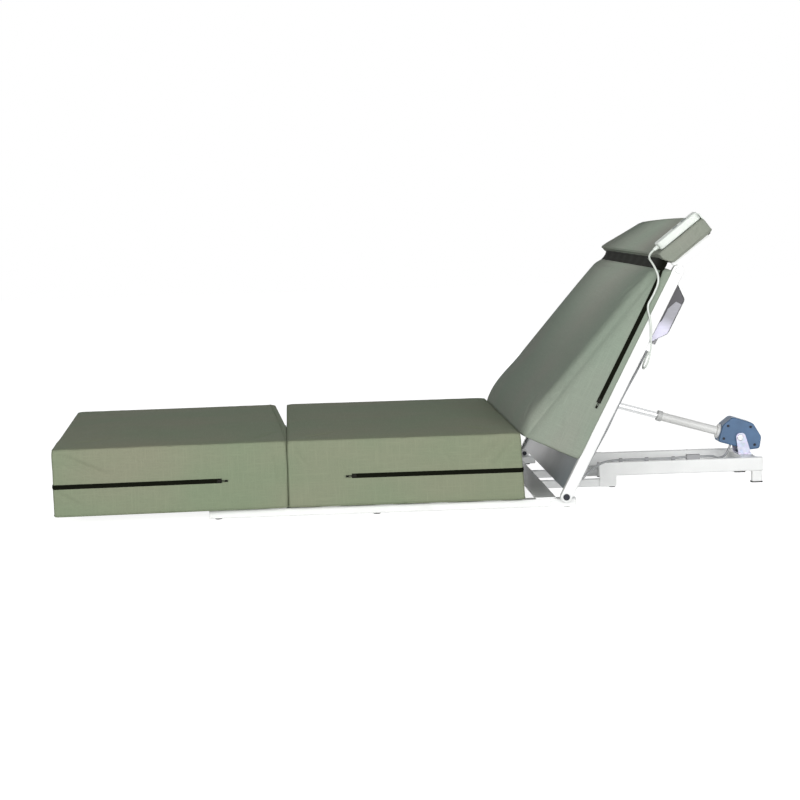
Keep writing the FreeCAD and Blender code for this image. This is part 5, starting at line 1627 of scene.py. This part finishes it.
class RECLINER_OT_control_box(bpy.types.Operator):
    """Finishes the control box and its plugs"""

    bl_idname = "recliner.control_box"
    bl_label = "Finish Control Box"

    def execute(self, context):
        settings = context.scene.recliner_finish
        dress_nodes(
            moulded_plastic("moulded_abs_box", settings.box_colour, 0.9 * MM, 0.05 * MM, 0.42),
            "control_box",
        )
        cover = flat_plate(
            "control_box_cover", BOX_COVER, BACK_FRAME,
            -BOX_FACE - BOX_COVER_THICK, -BOX_FACE + BOX_COVER_SUNK, PLATE_BEVEL,
        )
        # The cover turns from lavender to darker grey over 30 mm up from lower_end: painted shade
        # under the box's top.
        lower_end = BACK_FRAME @ Vector((0.470, 0, 0))
        square_up = Matrix.Rotation(math.radians(RAIL_ANGLE), 3, "Y") @ lower_end
        dress(cover, brushed_aluminium(
            "brushed_aluminium_cover_painted_shade", linear("#BDBBCC"), linear("#86868C"), square_up.x, 0.030
        ))
        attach(cover, "back")
        dress_nodes(
            moulded_plastic("moulded_abs_plug", linear("#A0A0A3"), 0.9 * MM, 0.04 * MM, 0.42),
            "control_plugs", "mains_gland",
        )
        return {"FINISHED"}


class RECLINER_OT_handset(bpy.types.Operator):
    """Finishes the handset and its buttons"""

    bl_idname = "recliner.handset"
    bl_label = "Finish Handset"

    def execute(self, context):
        settings = context.scene.recliner_finish
        dress_nodes(
            moulded_plastic(
                "moulded_abs_handset", settings.handset_colour, 0.8 * MM, 0.03 * MM, 0.36
            ),
            "handset_base_shell", "handset_top_shell", "handset_hook",
        )
        dress_nodes(
            moulded_plastic("silicone_rubber_button", linear("#8E9693"), 1.0 * MM, 0.03 * MM, 0.6),
            "button_up", "button_down",
        )
        return {"FINISHED"}


class RECLINER_OT_actuator(bpy.types.Operator):
    """Finishes the linear actuator"""

    bl_idname = "recliner.actuator"
    bl_label = "Finish Actuator"

    def execute(self, context):
        settings = context.scene.recliner_finish
        dress_nodes(
            moulded_plastic(
                "glass_filled_nylon_housing", settings.housing_colour, 1.3 * MM, 0.1 * MM, 0.4, 0.12
            ),
            "motor_housing_near", "motor_housing_far",
        )
        dress_nodes(turned_steel("blackened_steel_cap", linear("#34353A"), 0.4), "housing_screws")
        paint = powder_coat("painted_aluminium_tube", linear("#F0F0EE"))
        dress_nodes(paint, "guide_tube", "tube_flange")
        dress_nodes(
            moulded_plastic("moulded_acetal_gland", linear("#D2D3D2"), 0.8 * MM, 0.03 * MM, 0.35),
            "tube_gland",
        )
        dress_nodes(chromed_rod("hard_chromed_rod", linear("#DFE0E1")), "piston_rod", "rod_eye")
        dress_nodes(turned_steel("bright_steel_nut", linear("#C4C6C8"), 0.26), "lock_nut")
        return {"FINISHED"}


OPERATORS = (
    RECLINER_OT_stage, RECLINER_OT_cords, RECLINER_OT_base, RECLINER_OT_back_frame,
    RECLINER_OT_mattress, RECLINER_OT_back_cushions, RECLINER_OT_zips, RECLINER_OT_control_box,
    RECLINER_OT_handset, RECLINER_OT_actuator,
)


class RECLINER_PT_panel(bpy.types.Panel):
    """Lists the settings and the steps that dress the bed"""

    bl_idname = "RECLINER_PT_panel"
    bl_label = "Recliner Bed"
    bl_space_type = "VIEW_3D"
    bl_region_type = "UI"
    bl_category = "Recliner"

    def draw(self, context):
        scene = context.scene
        for settings in (scene.recliner_cover, scene.recliner_finish, scene.recliner_stage):
            box = self.layout.box()
            for name in settings.__annotations__:
                box.prop(settings, name)
        for operator in OPERATORS:
            self.layout.operator(operator.bl_idname)


SETTINGS = (CoverSettings, FinishSettings, StageSettings)


def register():
    for part in (*SETTINGS, *OPERATORS, RECLINER_PT_panel):
        bpy.utils.register_class(part)
    bpy.types.Scene.recliner_cover = bpy.props.PointerProperty(type=CoverSettings)
    bpy.types.Scene.recliner_finish = bpy.props.PointerProperty(type=FinishSettings)
    bpy.types.Scene.recliner_stage = bpy.props.PointerProperty(type=StageSettings)


def unregister():
    del bpy.types.Scene.recliner_stage
    del bpy.types.Scene.recliner_finish
    del bpy.types.Scene.recliner_cover
    for part in (RECLINER_PT_panel, *reversed(OPERATORS), *reversed(SETTINGS)):
        bpy.utils.unregister_class(part)


def main():
    register()
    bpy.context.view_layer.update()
    bpy.ops.recliner.stage()
    bpy.ops.recliner.cords()
    bpy.ops.recliner.base()
    bpy.ops.recliner.back_frame()
    bpy.ops.recliner.mattress()
    bpy.ops.recliner.back_cushions()
    bpy.ops.recliner.zips()
    bpy.ops.recliner.control_box()
    bpy.ops.recliner.handset()
    bpy.ops.recliner.actuator()


if __name__ == "__main__":
    main()
